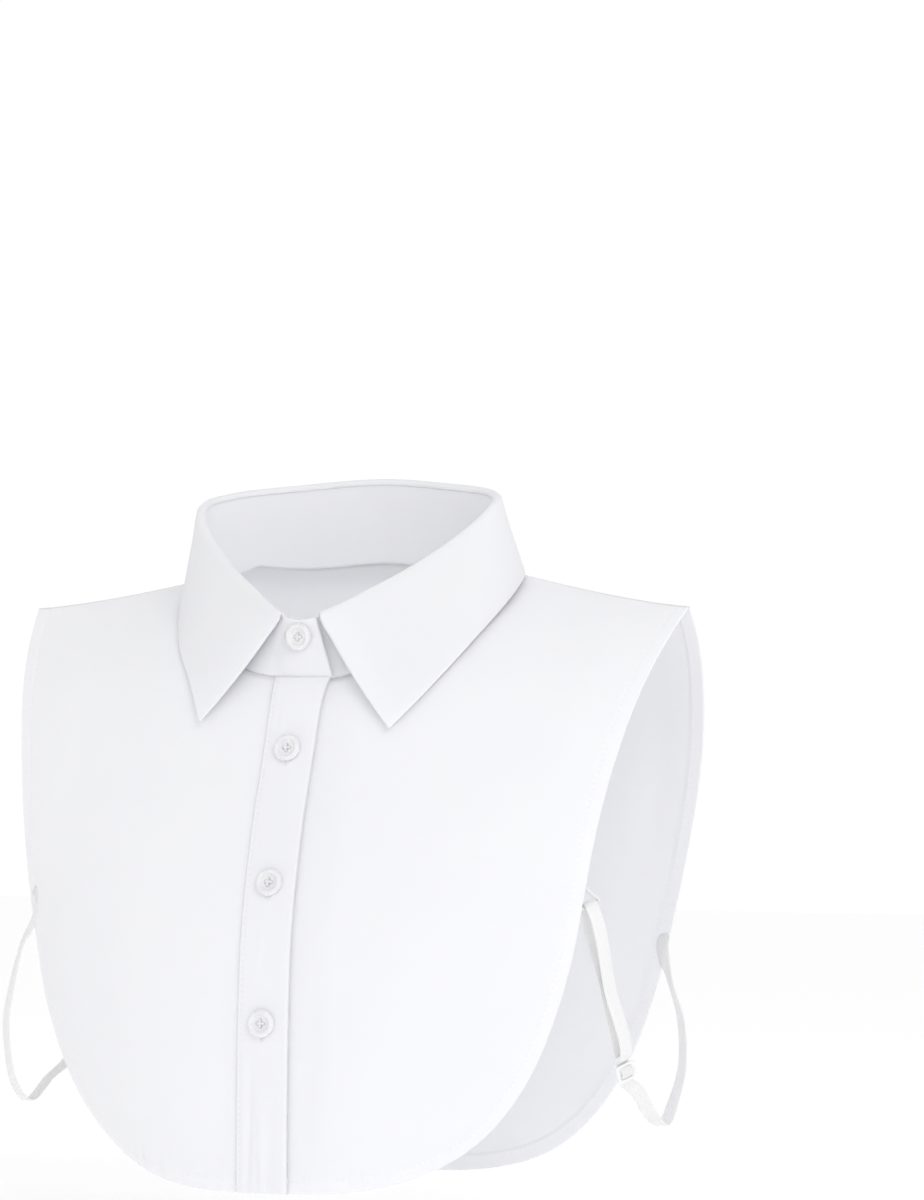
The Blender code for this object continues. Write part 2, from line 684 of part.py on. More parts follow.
def strap_route(plan, hand, sewn_panel, sewn_side, loop_apex):
    """Points along a strap with its width directions, its slider and its loop.

    The strap weaves through the slider and turns back round the bar of the loop.
    """
    rows = []
    first = np.array(plan["free"][0]["point"])
    for above, inset, lift in zip(SEWN_HEIGHTS, SEWN_INSETS, SEWN_LIFTS):
        height = plan["sewn_height"] + above
        point, facing = under_edge(sewn_panel, sewn_side, hand, height, inset)
        width = np.cross(facing, first - point)
        width = width * np.sign(width[0])
        rows.append((point - facing * lift, width))
    for row in plan["free"]:
        rows.append((np.array(row["point"]), np.array(row["width"])))
    middle = np.array(plan["slider"]["point"])
    run = unit(loop_apex - middle)
    bar = loop_apex - run * LOOP_LENGTH
    width = np.array(plan["slider"]["width"])
    width = unit(width - run * width.dot(run))
    face = np.cross(width, run)
    face = face * -np.sign(face[1])
    for step in (-1.0, -0.5, 0.0, 0.5, 1.0):
        across = SLIDER_WEAVE * np.cos(np.pi * step)
        rows.append((middle + run * SLIDER_PITCH * step + face * across, width))
    rows.append((middle + run * RETURN_END + face * TURN_RADIUS, width))
    halfway = (middle + bar) / 2
    rows.append((halfway + face * TURN_RADIUS, width))
    for angle in np.radians([0.0, 45.0, 90.0, 135.0, 180.0]):
        turned = face * np.cos(angle) + run * np.sin(angle)
        rows.append((bar + turned * TURN_RADIUS, width))
    rows.append((halfway - face * TURN_RADIUS, width))
    rows.append((middle + run * RETURN_END - face * TURN_RADIUS, width))
    points = np.array([row[0] for row in rows])
    widths = unit([row[1] for row in rows])
    slider = {"middle": middle, "run": run, "width": width, "face": face}
    return points, widths, slider, bar


def make_tape(name, points, widths, collection):
    """Flat elastic tape along a route: a narrow strip that turns with the width directions."""
    lengths = np.linalg.norm(np.diff(points, axis=0), axis=1)
    travelled = np.concatenate([[0], np.cumsum(lengths)])
    places = [0.0]
    for start, end in zip(travelled[:-1], travelled[1:]):
        count = int(np.ceil((end - start) / STRAP_STEP)) + 1
        places.extend(np.linspace(start, end, count + 1)[1:])
    places = np.array(places)
    middle = smooth_through(travelled, points, places)
    along = unit(np.gradient(middle, places, axis=0))
    across = smooth_through(travelled, widths, places)
    across = unit(across - along * (along * across).sum(-1, keepdims=True))
    half = across * STRAP_WIDTH / 2
    mesh = grid_mesh(name, np.stack([middle - half, middle + half], axis=1))
    tape = place(name, mesh, collection, ELASTIC_WHITE, ELASTIC_ROUGHNESS)
    solid = tape.modifiers.new("Tape", "SOLIDIFY")
    solid.thickness = STRAP_THICKNESS
    solid.offset = 0.0
    solid.use_even_offset = True
    solid.use_rim = True


def make_loop(name, apex, bar, width, collection):
    """Small three-cornered loop of cord, its point at the panel and its bar across the tape.

    Each corner is a circular arc that touches both sides.
    """
    corners = [apex, bar + width * LOOP_HALF_WIDTH, bar - width * LOOP_HALF_WIDTH]
    points = []
    for number, corner in enumerate(corners):
        to_last = unit(corners[number - 1] - corner)
        to_next = unit(corners[(number + 1) % 3] - corner)
        half_angle = np.arccos(to_last.dot(to_next)) / 2
        centre = corner + unit(to_last + to_next) * LOOP_CORNER / np.cos(half_angle)
        start = corner + to_last * LOOP_CORNER - centre
        end = corner + to_next * LOOP_CORNER - centre
        turn = np.pi - 2 * half_angle
        for part in LOOP_CORNER_STEPS:
            arm = start * np.sin((1 - part) * turn) + end * np.sin(part * turn)
            points.append(centre + arm / np.sin(turn))
    curve = bpy.data.curves.new(name, "CURVE")
    curve.dimensions = "3D"
    curve.bevel_depth = LOOP_RADIUS
    curve.bevel_resolution = 1
    spline = curve.splines.new("POLY")
    spline.points.add(len(points) - 1)
    for knot, point in zip(spline.points, points):
        knot.co = (*point, 1.0)
    spline.use_cyclic_u = True
    loop = bpy.data.objects.new(name, curve)
    collection.objects.link(loop)
    curve.materials.append(material(name, ELASTIC_WHITE, THREAD_ROUGHNESS))


def make_slider(name, slider, collection):
    """Flat slider with two slots and a middle bar, lying across the tape."""
    half_opening = SLIDER_OPENING / 2
    across = [-half_opening - SLIDER_SIDE, -half_opening, half_opening, half_opening + SLIDER_SIDE]
    half_bar = SLIDER_BAR / 2
    along = []
    for bar in (-1, 0, 1):
        along += [bar * SLIDER_PITCH - half_bar, bar * SLIDER_PITCH + half_bar]
    points = []
    for column in across:
        for row in along:
            points.append(slider["middle"] + slider["width"] * column + slider["run"] * row)
    faces = []
    for column in range(3):
        for row in range(5):
            is_slot = column == 1 and row in (1, 3)
            if not is_slot:
                corner = column * 6 + row
                faces.append((corner, corner + 6, corner + 7, corner + 1))
    mesh = bpy.data.meshes.new(name)
    mesh.from_pydata([tuple(point) for point in points], [], faces)
    mesh.update()
    frame = place(name, mesh, collection, ELASTIC_WHITE, SLIDER_ROUGHNESS)
    solid = frame.modifiers.new("Plate", "SOLIDIFY")
    solid.thickness = SLIDER_BAR
    solid.offset = 0.0
    solid.use_even_offset = True


def make_strap(name, plan, hand, sewn_panel, sewn_side, loop_panel, loop_side, collection):
    """One elastic strap with its slider and its loop."""
    inside_edge, facing = under_edge(loop_panel, loop_side, hand, plan["loop_height"], LOOP_INSET)
    past_edge = unit(np.cross(facing, (0.0, 0.0, 1.0)))
    past_edge = past_edge * np.sign(past_edge[0] * hand)
    apex = inside_edge + past_edge * LOOP_OUT
    points, widths, slider, bar = strap_route(plan, hand, sewn_panel, sewn_side, apex)
    make_tape(name, points, widths, collection)
    make_loop(name + "_loop", apex, bar, slider["width"], collection)
    make_slider(name + "_slider", slider, collection)


def main():
    for old in list(bpy.data.objects):
        bpy.data.objects.remove(old, do_unlink=True)
    pieces = bpy.data.collections.new(COLLECTION)
    cutters = bpy.data.collections.new("cutters")
    bpy.context.scene.collection.children.link(pieces)
    bpy.context.scene.collection.children.link(cutters)
    left, right, band = make_fronts(pieces)
    back = make_back(pieces)
    stand = make_stand(pieces)
    make_leaf(pieces)
    make_buttons(pieces, cutters, stand, band)
    make_strap("strap_left", LEFT_STRAP, LEFT, back, BACK, left, FRONT, pieces)
    make_strap("strap_right", RIGHT_STRAP, RIGHT, right, FRONT, back, BACK, pieces)


main()
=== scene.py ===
import bpy
import numpy as np
from mathutils import Matrix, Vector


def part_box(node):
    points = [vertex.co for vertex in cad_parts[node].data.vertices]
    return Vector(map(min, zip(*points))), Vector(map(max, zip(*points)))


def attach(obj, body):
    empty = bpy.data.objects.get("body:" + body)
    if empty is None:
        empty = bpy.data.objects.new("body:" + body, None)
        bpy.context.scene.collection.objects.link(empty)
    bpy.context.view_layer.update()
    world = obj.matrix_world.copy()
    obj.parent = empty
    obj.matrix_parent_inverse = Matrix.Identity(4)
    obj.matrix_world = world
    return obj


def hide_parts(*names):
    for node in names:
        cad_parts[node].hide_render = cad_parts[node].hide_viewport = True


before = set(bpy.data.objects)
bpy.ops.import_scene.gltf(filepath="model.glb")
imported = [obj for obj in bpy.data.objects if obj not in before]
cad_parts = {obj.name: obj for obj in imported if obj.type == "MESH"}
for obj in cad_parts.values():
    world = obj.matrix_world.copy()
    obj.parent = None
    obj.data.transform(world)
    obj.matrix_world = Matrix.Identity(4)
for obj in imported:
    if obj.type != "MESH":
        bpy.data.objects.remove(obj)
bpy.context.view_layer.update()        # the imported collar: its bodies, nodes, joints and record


# The view
# The photograph was taken from about two metres, level with the chest and a little towards the
# wearer's left, with a long lens that points slightly up and is turned by a degree.
CAMERA_PLACE = (0.749, -1.839, -0.108)
CAMERA_YAW = np.radians(20.69)
CAMERA_PITCH = np.radians(3.23)
CAMERA_ROLL = np.radians(-1.0)
CAMERA_LENS = 139.7

level_right = np.array([np.cos(CAMERA_YAW), np.sin(CAMERA_YAW), 0.0])
looking = np.array([
    -np.sin(CAMERA_YAW) * np.cos(CAMERA_PITCH),
    np.cos(CAMERA_YAW) * np.cos(CAMERA_PITCH),
    np.sin(CAMERA_PITCH),
])
level_up = np.cross(level_right, looking)
picture_right = level_right * np.cos(CAMERA_ROLL) - level_up * np.sin(CAMERA_ROLL)
picture_up = level_up * np.cos(CAMERA_ROLL) + level_right * np.sin(CAMERA_ROLL)

camera = bpy.data.objects.new("camera", bpy.data.cameras.new("camera"))
bpy.context.scene.collection.objects.link(camera)
camera.data.sensor_width = 36.0
camera.data.lens = CAMERA_LENS
camera_turn = np.column_stack([picture_right, picture_up, -looking])
camera.matrix_world = Matrix.Translation(CAMERA_PLACE) @ Matrix(camera_turn.tolist()).to_4x4()
bpy.context.scene.camera = camera


# The two fronts
# Each front is one layer of white cotton poplin, seamed to the back along the shoulder. Its
# armhole and hem are one curved edge, turned in twice and stitched 5 mm from the fold, and
# the right front laps over the left one down the middle.
CLOTH_WALL = 0.0012
LAYER_GAP = 0.0004
SEAM_GAP = 0.0003
SHOULDER_HALF = 0.151
SHOULDER_NECK = 0.066
SHOULDER_RISE = 0.0160
SHOULDER_CURVE = 1.35
SHOULDER_TOP_ROUND = 0.015
SHOULDER_END_Y = 0.015
SHOULDER_MID_Y = 0.033
FRONT_ROUNDING = 0.040
BACK_ROUNDING = 0.027
WIDEST_Y = 0.015
TORSO_SQUARENESS = 2.5
BACK_HALF_WIDTH = 0.220
TORSO_ROWS = [
    {"height": -0.260, "chest_half": 0.064, "chest_y": -0.0740, "back_y": 0.066},
    {"height": -0.210, "chest_half": 0.114, "chest_y": -0.0760, "back_y": 0.069},
    {"height": -0.175, "chest_half": 0.131, "chest_y": -0.0770, "back_y": 0.079},
    {"height": -0.140, "chest_half": 0.140, "chest_y": -0.0765, "back_y": 0.089},
    {"height": -0.100, "chest_half": 0.155, "chest_y": -0.0710, "back_y": 0.099},
    {"height": -0.060, "chest_half": 0.171, "chest_y": -0.0640, "back_y": 0.101},
    {"height": -0.030, "chest_half": 0.175, "chest_y": -0.0650, "back_y": 0.094},
    {"height": 0.000, "chest_half": 0.176, "chest_y": -0.0660, "back_y": 0.087},
    {"height": 0.040, "chest_half": 0.177, "chest_y": -0.0660, "back_y": 0.079},
]
ARMHOLE_INNER = 0.100
ARMHOLE_SPREAD = 0.050
ARMHOLE_FALL = 0.170
HEM_START = 0.100
FRONT_HEM_SQUARENESS = 3.0
BACK_HEM_SQUARENESS = 3.5
FRONT_HEM_DEPTH = 0.144
BACK_HEM_DEPTH = 0.1415
NECK_HALF_WIDTH = 0.065
NECK_SIDE_Y = 0.006
NECK_FRONT_DEPTH = 0.0505
NECK_BACK_DEPTH = 0.041
BAND_HALF = 0.0110
BAND_TOP_FLARE = 0.0027
BAND_FLARE_FALL = 0.0075
OVERLAP_EASE = 0.0160

CLOTH_THICKNESS = 0.0005
TURNED_EDGE = 0.0062
TURNED_THICKNESS = 0.0010
STITCH_FROM_EDGE = 0.0051
FRONT = -1.0
BACK = 1.0
MIRRORED = np.array([-1.0, 1.0, 1.0])


def smooth_through(places, values, where):
    """Smooth curve through given values: a cubic between each two, level with their slopes."""
    places = np.asarray(places, dtype=float)
    values = np.asarray(values, dtype=float)
    where = np.asarray(where, dtype=float)
    slopes = np.gradient(values, places, axis=0)
    row = np.clip(np.searchsorted(places, where, side="right") - 1, 0, len(places) - 2)
    width = places[row + 1] - places[row]
    part = (where - places[row]) / width
    if values.ndim > 1:
        width = width.reshape(width.shape + (1,) * (values.ndim - 1))
        part = part.reshape(width.shape)
    start = (2 * part**3 - 3 * part**2 + 1) * values[row]
    end = (3 * part**2 - 2 * part**3) * values[row + 1]
    start_lean = (part**3 - 2 * part**2 + part) * slopes[row] * width
    end_lean = (part**3 - part**2) * slopes[row + 1] * width
    return start + end + start_lean + end_lean


def unit(vectors):
    """The same directions, each divided by its own length."""
    vectors = np.asarray(vectors, dtype=float)
    return vectors / np.linalg.norm(vectors, axis=-1, keepdims=True)


def soft_step(value, start, end):
    """Rises from 0 at the start to 1 at the end: three squares less two cubes of the way."""
    way = np.clip((value - start) / (end - start), 0, 1)
    return way**2 * (3 - 2 * way)


def torso(column, height):
    """One column of the table of the torso, read at any height by a smooth curve."""
    heights = [row["height"] for row in TORSO_ROWS]
    values = [row[column] for row in TORSO_ROWS]
    return smooth_through(heights, values, np.clip(height, heights[0], heights[-1]))


def shoulder_line(x):
    """Depth and height of the shoulder line: a parabola in depth, and a rise to the neck that
    grows as a power of the way in from the shoulder's end."""
    across = np.abs(x) / SHOULDER_HALF
    y = SHOULDER_END_Y + (SHOULDER_MID_Y - SHOULDER_END_Y) * (1 - across**2)
    end = np.hypot(SHOULDER_HALF, SHOULDER_TOP_ROUND)
    inward = np.clip(end - np.hypot(x, SHOULDER_TOP_ROUND), 0, None)
    z = SHOULDER_RISE * (inward / (SHOULDER_HALF - SHOULDER_NECK)) ** SHOULDER_CURVE
    return y, z


def filled_depth(x, height, side):
    """Depth of the chest or the back: a superellipse across the body at each height."""
    half = np.where(side < 0, torso("chest_half", height), BACK_HALF_WIDTH)
    middle = np.where(side < 0, torso("chest_y", height), torso("back_y", height))
    across = np.clip(np.abs(x) / half, 0, 1)
    fullness = (1 - across**TORSO_SQUARENESS) ** (1 / TORSO_SQUARENESS)
    return WIDEST_Y + (middle - WIDEST_Y) * fullness


def worn(x, drop, side):
    """Inner face of the cloth: from the shoulder line it nears the torso's depth as an
    exponential of the drop below that line."""
    x, drop = np.broadcast_arrays(np.asarray(x, dtype=float), np.asarray(drop, dtype=float))
    ridge_y, ridge_z = shoulder_line(x)
    rounding = FRONT_ROUNDING if side < 0 else BACK_ROUNDING
    height = ridge_z - drop
    reach = 1 - np.exp(-drop / rounding)
    y = ridge_y + (filled_depth(x, height, side) - ridge_y) * reach
    return np.stack([x, y, height], axis=-1)


def outward(x, drop, side):
    """Unit direction out of the cloth: the cross product of its two slopes."""
    step = 0.0005
    along_x = worn(x + step, drop, side) - worn(x - step, drop, side)
    along_drop = worn(x, drop + step, side) - worn(x, drop, side)
    normal = np.cross(along_x, along_drop)
    return unit(np.where(normal[..., 1:2] * side < 0, -normal, normal))


def drop_at(x, y, side):
    """Drop at which the cloth lies at a depth, found by solving the exponential repeatedly."""
    ridge_y, ridge_z = shoulder_line(x)
    rounding = FRONT_ROUNDING if side < 0 else BACK_ROUNDING
    drop = np.zeros_like(x)
    for _ in range(16):
        reach = (y - ridge_y) / (filled_depth(x, ridge_z - drop, side) - ridge_y)
        drop = -rounding * np.log(1 - np.clip(reach, 0, 0.98))
    return drop


def travelled_along(line):
    """Distance along a line of points: the running sum of the steps between them."""
    steps = np.linalg.norm(np.diff(line, axis=0), axis=1)
    return np.concatenate([[0], np.cumsum(steps)])


def evenly(points, side, count):
    """Places an even distance apart along a line given across the body and down it."""
    travelled = travelled_along(worn(points[:, 0], points[:, 1], side))
    wanted = np.linspace(0, travelled[-1], count)
    x = np.interp(wanted, travelled, points[:, 0])
    drop = np.interp(wanted, travelled, points[:, 1])
    return np.stack([x, drop], axis=-1)


def armhole_and_hem(side, count):
    """Edge of half a panel: an exponential armhole down to a superellipse of a hem."""
    depth = FRONT_HEM_DEPTH if side < 0 else BACK_HEM_DEPTH
    power = 2 / (FRONT_HEM_SQUARENESS if side < 0 else BACK_HEM_SQUARENESS)
    straight = np.linspace(0, HEM_START, 400)[:-1]
    turn = np.linspace(0, np.pi / 2, 1200)
    fall = np.concatenate([straight, HEM_START + depth * np.sin(turn) ** power])
    narrowing = np.concatenate([np.ones_like(straight), np.cos(turn).clip(0) ** power])
    x = (ARMHOLE_INNER + ARMHOLE_SPREAD * np.exp(-fall / ARMHOLE_FALL)) * narrowing
    drop = fall + shoulder_line(x)[1]
    return evenly(np.stack([x, drop], axis=-1), side, count)


def neck_plan(turn):
    """Neck seam from above: half an ellipse in front and a shallower half behind."""
    depth = np.where(np.cos(turn) > 0, NECK_FRONT_DEPTH, NECK_BACK_DEPTH)
    return NECK_HALF_WIDTH * np.sin(turn), NECK_SIDE_Y - depth * np.cos(turn)


def neck_edge(side, count):
    """Neck edge of half a panel, from the shoulder line to the middle line."""
    x, y = neck_plan(np.linspace(0, np.pi, 2000))
    ridge_y = shoulder_line(x)[0]
    own = y <= ridge_y if side < 0 else y >= ridge_y
    points = np.stack([x[own], drop_at(x[own], y[own], side)], axis=-1)
    points = points[::-1] if side < 0 else points
    points[0, 1] = 0.0
    return evenly(points, side, count)


def up_to(points, x_limit):
    """A half edge, cut off where it comes within x_limit of the middle line."""
    row = int(np.argmax(points[:, 0] < x_limit))
    before = points[row - 1]
    after = points[row]
    part = (before[0] - x_limit) / (before[0] - after[0])
    return np.vstack([points[:row], before + (after - before) * part])


def between_edges(neck, outer, steps):
    """Places over a panel in columns from neck to outer edge, straight in the drop's root."""
    x = neck[:, None, 0] + (outer[:, None, 0] - neck[:, None, 0]) * steps
    root = np.sqrt(neck[:, None, 1]) * (1 - steps) + np.sqrt(outer[:, None, 1]) * steps
    return x, root**2


def steps_to_hem(neck, outer, side, rows):
    """Steps down each column: even as far as the turned edge, then close together over it."""
    over_edge = np.array([9.0, 7.6, 6.8, 6.4, 6.0, 5.5, 5.1, 4.7, 4.0, 3.0, 2.0, 1.1, 0.4, 0.0])
    over_edge = over_edge / 1000
    fine = np.linspace(0, 1, 240)[None, :]
    x, drop = between_edges(neck, outer, fine)
    line = worn(x, drop, side)
    steps = np.linalg.norm(np.diff(line, axis=1), axis=2)
    travelled = np.hstack([np.zeros((len(neck), 1)), np.cumsum(steps, axis=1)])
    whole = travelled[:, -1:]
    even = np.linspace(0, 1, rows)[None, :-1] * (whole - over_edge[0])
    wanted = np.hstack([even, whole - over_edge[None, :]])
    return np.array([np.interp(row, way, fine[0]) for row, way in zip(wanted, travelled)])


def front_places(columns, rows, middle_columns):
    """Places over a front, running on past the middle line to a free edge that spreads at
    the top as an exponential of the drop."""
    neck = neck_edge(FRONT, 1500)
    outer = armhole_and_hem(FRONT, 3000)
    middle_x = np.linspace(BAND_HALF, -BAND_HALF, middle_columns)[1:]
    past_middle = np.clip(-middle_x / BAND_HALF, 0, 1)
    neck_x = middle_x - BAND_TOP_FLARE * past_middle
    neck_drop = np.interp(np.abs(neck_x), neck[::-1, 0], neck[::-1, 1])
    outer_drop = np.interp(np.abs(middle_x), outer[::-1, 0], outer[::-1, 1])
    own_neck = evenly(up_to(neck, BAND_HALF), FRONT, columns)
    own_outer = evenly(up_to(outer, BAND_HALF), FRONT, columns)
    own_steps = steps_to_hem(own_neck, own_outer, FRONT, rows)
    own_x, own_drop = between_edges(own_neck, own_outer, own_steps)
    middle_neck = np.stack([middle_x, neck_drop], axis=-1)
    middle_outer = np.stack([middle_x, outer_drop], axis=-1)
    middle_steps = steps_to_hem(middle_neck, middle_outer, FRONT, rows)
    _, middle_drop = between_edges(middle_neck, middle_outer, middle_steps)
    fading = np.exp(-(middle_drop - neck_drop[:, None]) / BAND_FLARE_FALL)
    spread_x = middle_x[:, None] - BAND_TOP_FLARE * past_middle[:, None] * fading
    return np.vstack([own_x, spread_x]), np.vstack([own_drop, middle_drop])


def from_edge(grid):
    """Distance of each place from the last row, and how far along that row it is nearest."""
    edge = grid[:, -1]
    travelled = travelled_along(edge)
    fine = np.linspace(0, travelled[-1], 1600)
    edge = np.stack([np.interp(fine, travelled, edge[:, axis]) for axis in range(3)], axis=-1)
    away = np.empty(grid.shape[:2])
    along = np.empty(grid.shape[:2])
    for row in range(grid.shape[1]):
        gaps = np.linalg.norm(grid[:, row, None, :] - edge[None], axis=-1)
        nearest = gaps.argmin(axis=1)
        away[:, row] = gaps.min(axis=1)
        along[:, row] = fine[nearest]
    along[:, -1] = travelled
    return away, along


def uneven_wave(along, shortest, longest, seed):
    """Sum of eight sines of seeded wavelengths and phases, between about -1 and 1."""
    chance = np.random.default_rng(seed)
    lengths = chance.uniform(shortest, longest, 8)
    phases = chance.uniform(0, 2 * np.pi, 8)
    return np.sin(along[..., None] * 2 * np.pi / lengths + phases).sum(-1) / 4


def soft_folds(x, height, folds):
    """Sum of soft ridges and troughs. Each is a bell curve across a straight line from one
    place to another, and fades as a sine towards the line's two ends."""
    total = np.zeros_like(x)
    for fold in folds:
        start = np.array(fold["from"])
        run = np.array(fold["to"]) - start
        length = np.hypot(*run)
        along = ((x - start[0]) * run[0] + (height - start[1]) * run[1]) / length**2
        across = ((x - start[0]) * run[1] - (height - start[1]) * run[0]) / length
        fade = np.sin(np.pi * np.clip(along, 0, 1)) ** 0.8
        total += fold["rise"] * fade * np.exp(-((across / fold["width"]) ** 2))
    return total


def closed_shell(name, outer, inner, rim_rows=5):
    """Closed wall between two grids. The last rows are joined by half a circle, and the other
    three sides by straight strips. Faces point outwards, which the sign of the enclosed
    volume tells."""
    turn = np.linspace(0, np.pi, rim_rows + 2)[1:-1][None, :, None]
    centre = (outer[:, -1] + inner[:, -1])[:, None] / 2
    arm = (outer[:, -1] - inner[:, -1])[:, None] / 2
    edge_way = unit(outer[:, -1] - outer[:, -3])[:, None] * np.linalg.norm(arm, axis=-1, keepdims=True)
    rim = centre + arm * np.cos(turn) + edge_way * np.sin(turn)
    loop = np.concatenate([outer, rim, inner[:, ::-1]], axis=1)
    columns, around = loop.shape[:2]
    index = np.arange(columns * around).reshape(columns, around)
    onward = np.roll(index, -1, axis=1)
    sides = np.stack([index[:-1], index[1:], onward[1:], onward[:-1]], axis=-1).reshape(-1, 4)
    rows = outer.shape[1]
    faces = sides.tolist()
    for column, step in ((0, 1), (columns - 1, -1)):
        ring = index[column]
        near = ring[:rows]
        far = ring[::-1][:rows]
        cap = np.stack([near[:-1], near[1:], far[1:], far[:-1]], axis=-1)[:, ::step]
        faces += cap.tolist()
        faces.append(ring[rows - 1: rows + rim_rows + 1][::step].tolist())
    points = loop.reshape(-1, 3)
    corners = points[sides]
    normal = np.cross(corners[:, 2] - corners[:, 0], corners[:, 3] - corners[:, 1])
    if (normal * corners.mean(axis=1)).sum() < 0:
        faces = [face[::-1] for face in faces]
    mesh = bpy.data.meshes.new(name)
    mesh.from_pydata(points.tolist(), [], faces)
    mesh.shade_smooth()
    return mesh


def over_shell(outer_values, rim_rows=5):
    """Values on the outer grid, spread over the rim and the inner face of a closed shell."""
    rim = np.repeat(outer_values[:, -1:], rim_rows, axis=1)
    return np.concatenate([outer_values, rim, outer_values[:, ::-1]], axis=1)


def give_map(mesh, name, across, along):
    """Map of the cloth in metres, one pair of values for each point of the mesh."""
    corners = np.empty(len(mesh.loops), dtype=int)
    mesh.loops.foreach_get("vertex_index", corners)
    pairs = np.stack([across.ravel(), along.ravel()], axis=-1)
    mesh.uv_layers.new(name=name).uv.foreach_set("vector", pairs[corners].astype(np.float32).ravel())


def finished(name, mesh, look, slot, *nodes):
    """Piece with its material, riding on the part and standing for its solids."""
    piece = bpy.data.objects.new(name, mesh)
    bpy.context.scene.collection.objects.link(piece)
    mesh.materials.append(look)
    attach(piece, "root")
    if nodes:
        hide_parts(*nodes)
    return piece


def sums(tree, kind, first, second=0.0, third=0.0):
    """One step of arithmetic in a material, on sockets or plain numbers."""
    step = tree.nodes.new("ShaderNodeMath")
    step.operation = kind
    for socket, value in zip(step.inputs, (first, second, third)):
        if isinstance(value, (int, float)):
            socket.default_value = value
        else:
            tree.links.new(value, socket)
    return step.outputs[0]


def noise(tree, place, scale, detail):
    """Cloudy pattern of about one blotch for each 1/scale metres."""
    cloud = tree.nodes.new("ShaderNodeTexNoise")
    cloud.inputs["Scale"].default_value = scale
    cloud.inputs["Detail"].default_value = detail
    tree.links.new(place, cloud.inputs["Vector"])
    return cloud.outputs["Fac"]


def mapped(tree, name):
    """The two values of one of the cloth's maps."""
    source = tree.nodes.new("ShaderNodeUVMap")
    source.uv_map = name
    split = tree.nodes.new("ShaderNodeSeparateXYZ")
    tree.links.new(source.outputs["UV"], split.inputs[0])
    return split.outputs["X"], split.outputs["Y"]


def blended(tree, part, first, second):
    """Colour that goes from the first to the second as part goes from 0 to 1."""
    mix = tree.nodes.new("ShaderNodeMix")
    mix.data_type = "RGBA"
    colours = [socket for socket in mix.inputs if socket.type == "RGBA"]
    tree.links.new(part, mix.inputs["Factor"])
    for socket, value in zip(colours, (first, second)):
        if isinstance(value, tuple):
            socket.default_value = value
        else:
            tree.links.new(value, socket)
    return [socket for socket in mix.outputs if socket.type == "RGBA"][0]


def bell(tree, value, middle, width):
    """1 where a value is at the middle, falling off as a bell curve of the given width."""
    away = sums(tree, "DIVIDE", sums(tree, "SUBTRACT", value, middle), width)
    return sums(tree, "EXPONENT", sums(tree, "MULTIPLY", sums(tree, "MULTIPLY", away, away), -1.0))


WEAVE_PITCH = 0.00042
STITCH_PITCH = 0.0025
POPLIN_LIGHT = (0.910, 0.912, 0.944, 1.0)
POPLIN_SHADE = (0.880, 0.883, 0.920, 1.0)
THREAD_WHITE = (0.93, 0.93, 0.945, 1.0)
# Painted shade for the needle holes of the stitching.
NEEDLE_PAINTED_SHADE = (0.85, 0.854, 0.890, 1.0)


def poplin(name, stitched, crumple, thinness):
    """Cotton poplin. Its height in millimetres adds a plain weave, the product of two sines;
    two sizes of soft crumple; and stitches that rise along a line beside the edge. The colour
    drifts between two near whites and is darkened with painted shade at the needle holes.
    Thinness is the share of the light that passes into the cloth."""
    made = bpy.data.materials.new(name)
    made.use_nodes = True
    tree = made.node_tree
    shader = tree.nodes["Principled BSDF"]
    shader.inputs["Sheen Weight"].default_value = 0.15
    shader.inputs["Sheen Roughness"].default_value = 0.5
    shader.inputs["Specular IOR Level"].default_value = 0.25
    shader.inputs["Subsurface Weight"].default_value = thinness
    shader.inputs["Subsurface Radius"].default_value = (1.0, 1.0, 1.0)
    shader.inputs["Subsurface Scale"].default_value = 0.002
    place = tree.nodes.new("ShaderNodeTexCoord").outputs["Object"]
    across, along = mapped(tree, "threads")
    warp = sums(tree, "SINE", sums(tree, "MULTIPLY", across, 2 * np.pi / WEAVE_PITCH))
    weft = sums(tree, "SINE", sums(tree, "MULTIPLY", along, 2 * np.pi / WEAVE_PITCH))
    weave = sums(tree, "MULTIPLY", sums(tree, "MULTIPLY", warp, weft), 0.012)
    broad = sums(tree, "MULTIPLY", noise(tree, place, 45.0, 2.0), 0.30 * crumple)
    small = sums(tree, "MULTIPLY", noise(tree, place, 160.0, 3.0), 0.07 * crumple)
    height = sums(tree, "ADD", weave, sums(tree, "ADD", broad, small))
    colour = blended(tree, noise(tree, place, 22.0, 3.0), POPLIN_SHADE, POPLIN_LIGHT)
    if stitched:
        edge_along, edge_away = mapped(tree, "edge")
        line = bell(tree, edge_away, STITCH_FROM_EDGE, 0.00028)
        beat = sums(tree, "SINE", sums(tree, "MULTIPLY", edge_along, 2 * np.pi / STITCH_PITCH))
        thread = sums(tree, "MULTIPLY", line, sums(tree, "GREATER_THAN", beat, -0.55))
        needle = sums(tree, "MULTIPLY", line, sums(tree, "LESS_THAN", beat, -0.80))
        height = sums(tree, "ADD", height, sums(tree, "MULTIPLY", thread, 0.05))
        height = sums(tree, "SUBTRACT", height, sums(tree, "MULTIPLY", needle, 0.03))
        colour = blended(tree, thread, colour, THREAD_WHITE)
        # Painted shade: the colour is darkened in the needle holes, where the cloth dips.
        colour = blended(tree, needle, colour, NEEDLE_PAINTED_SHADE)
    bump = tree.nodes.new("ShaderNodeBump")
    bump.inputs["Distance"].default_value = 0.001
    tree.links.new(height, bump.inputs["Height"])
    tree.links.new(bump.outputs["Normal"], shader.inputs["Normal"])
    tree.links.new(colour, shader.inputs["Base Color"])
    matt = sums(tree, "MULTIPLY_ADD", noise(tree, place, 300.0, 2.0), 0.14, 0.76)
    tree.links.new(matt, shader.inputs["Roughness"])
    return made


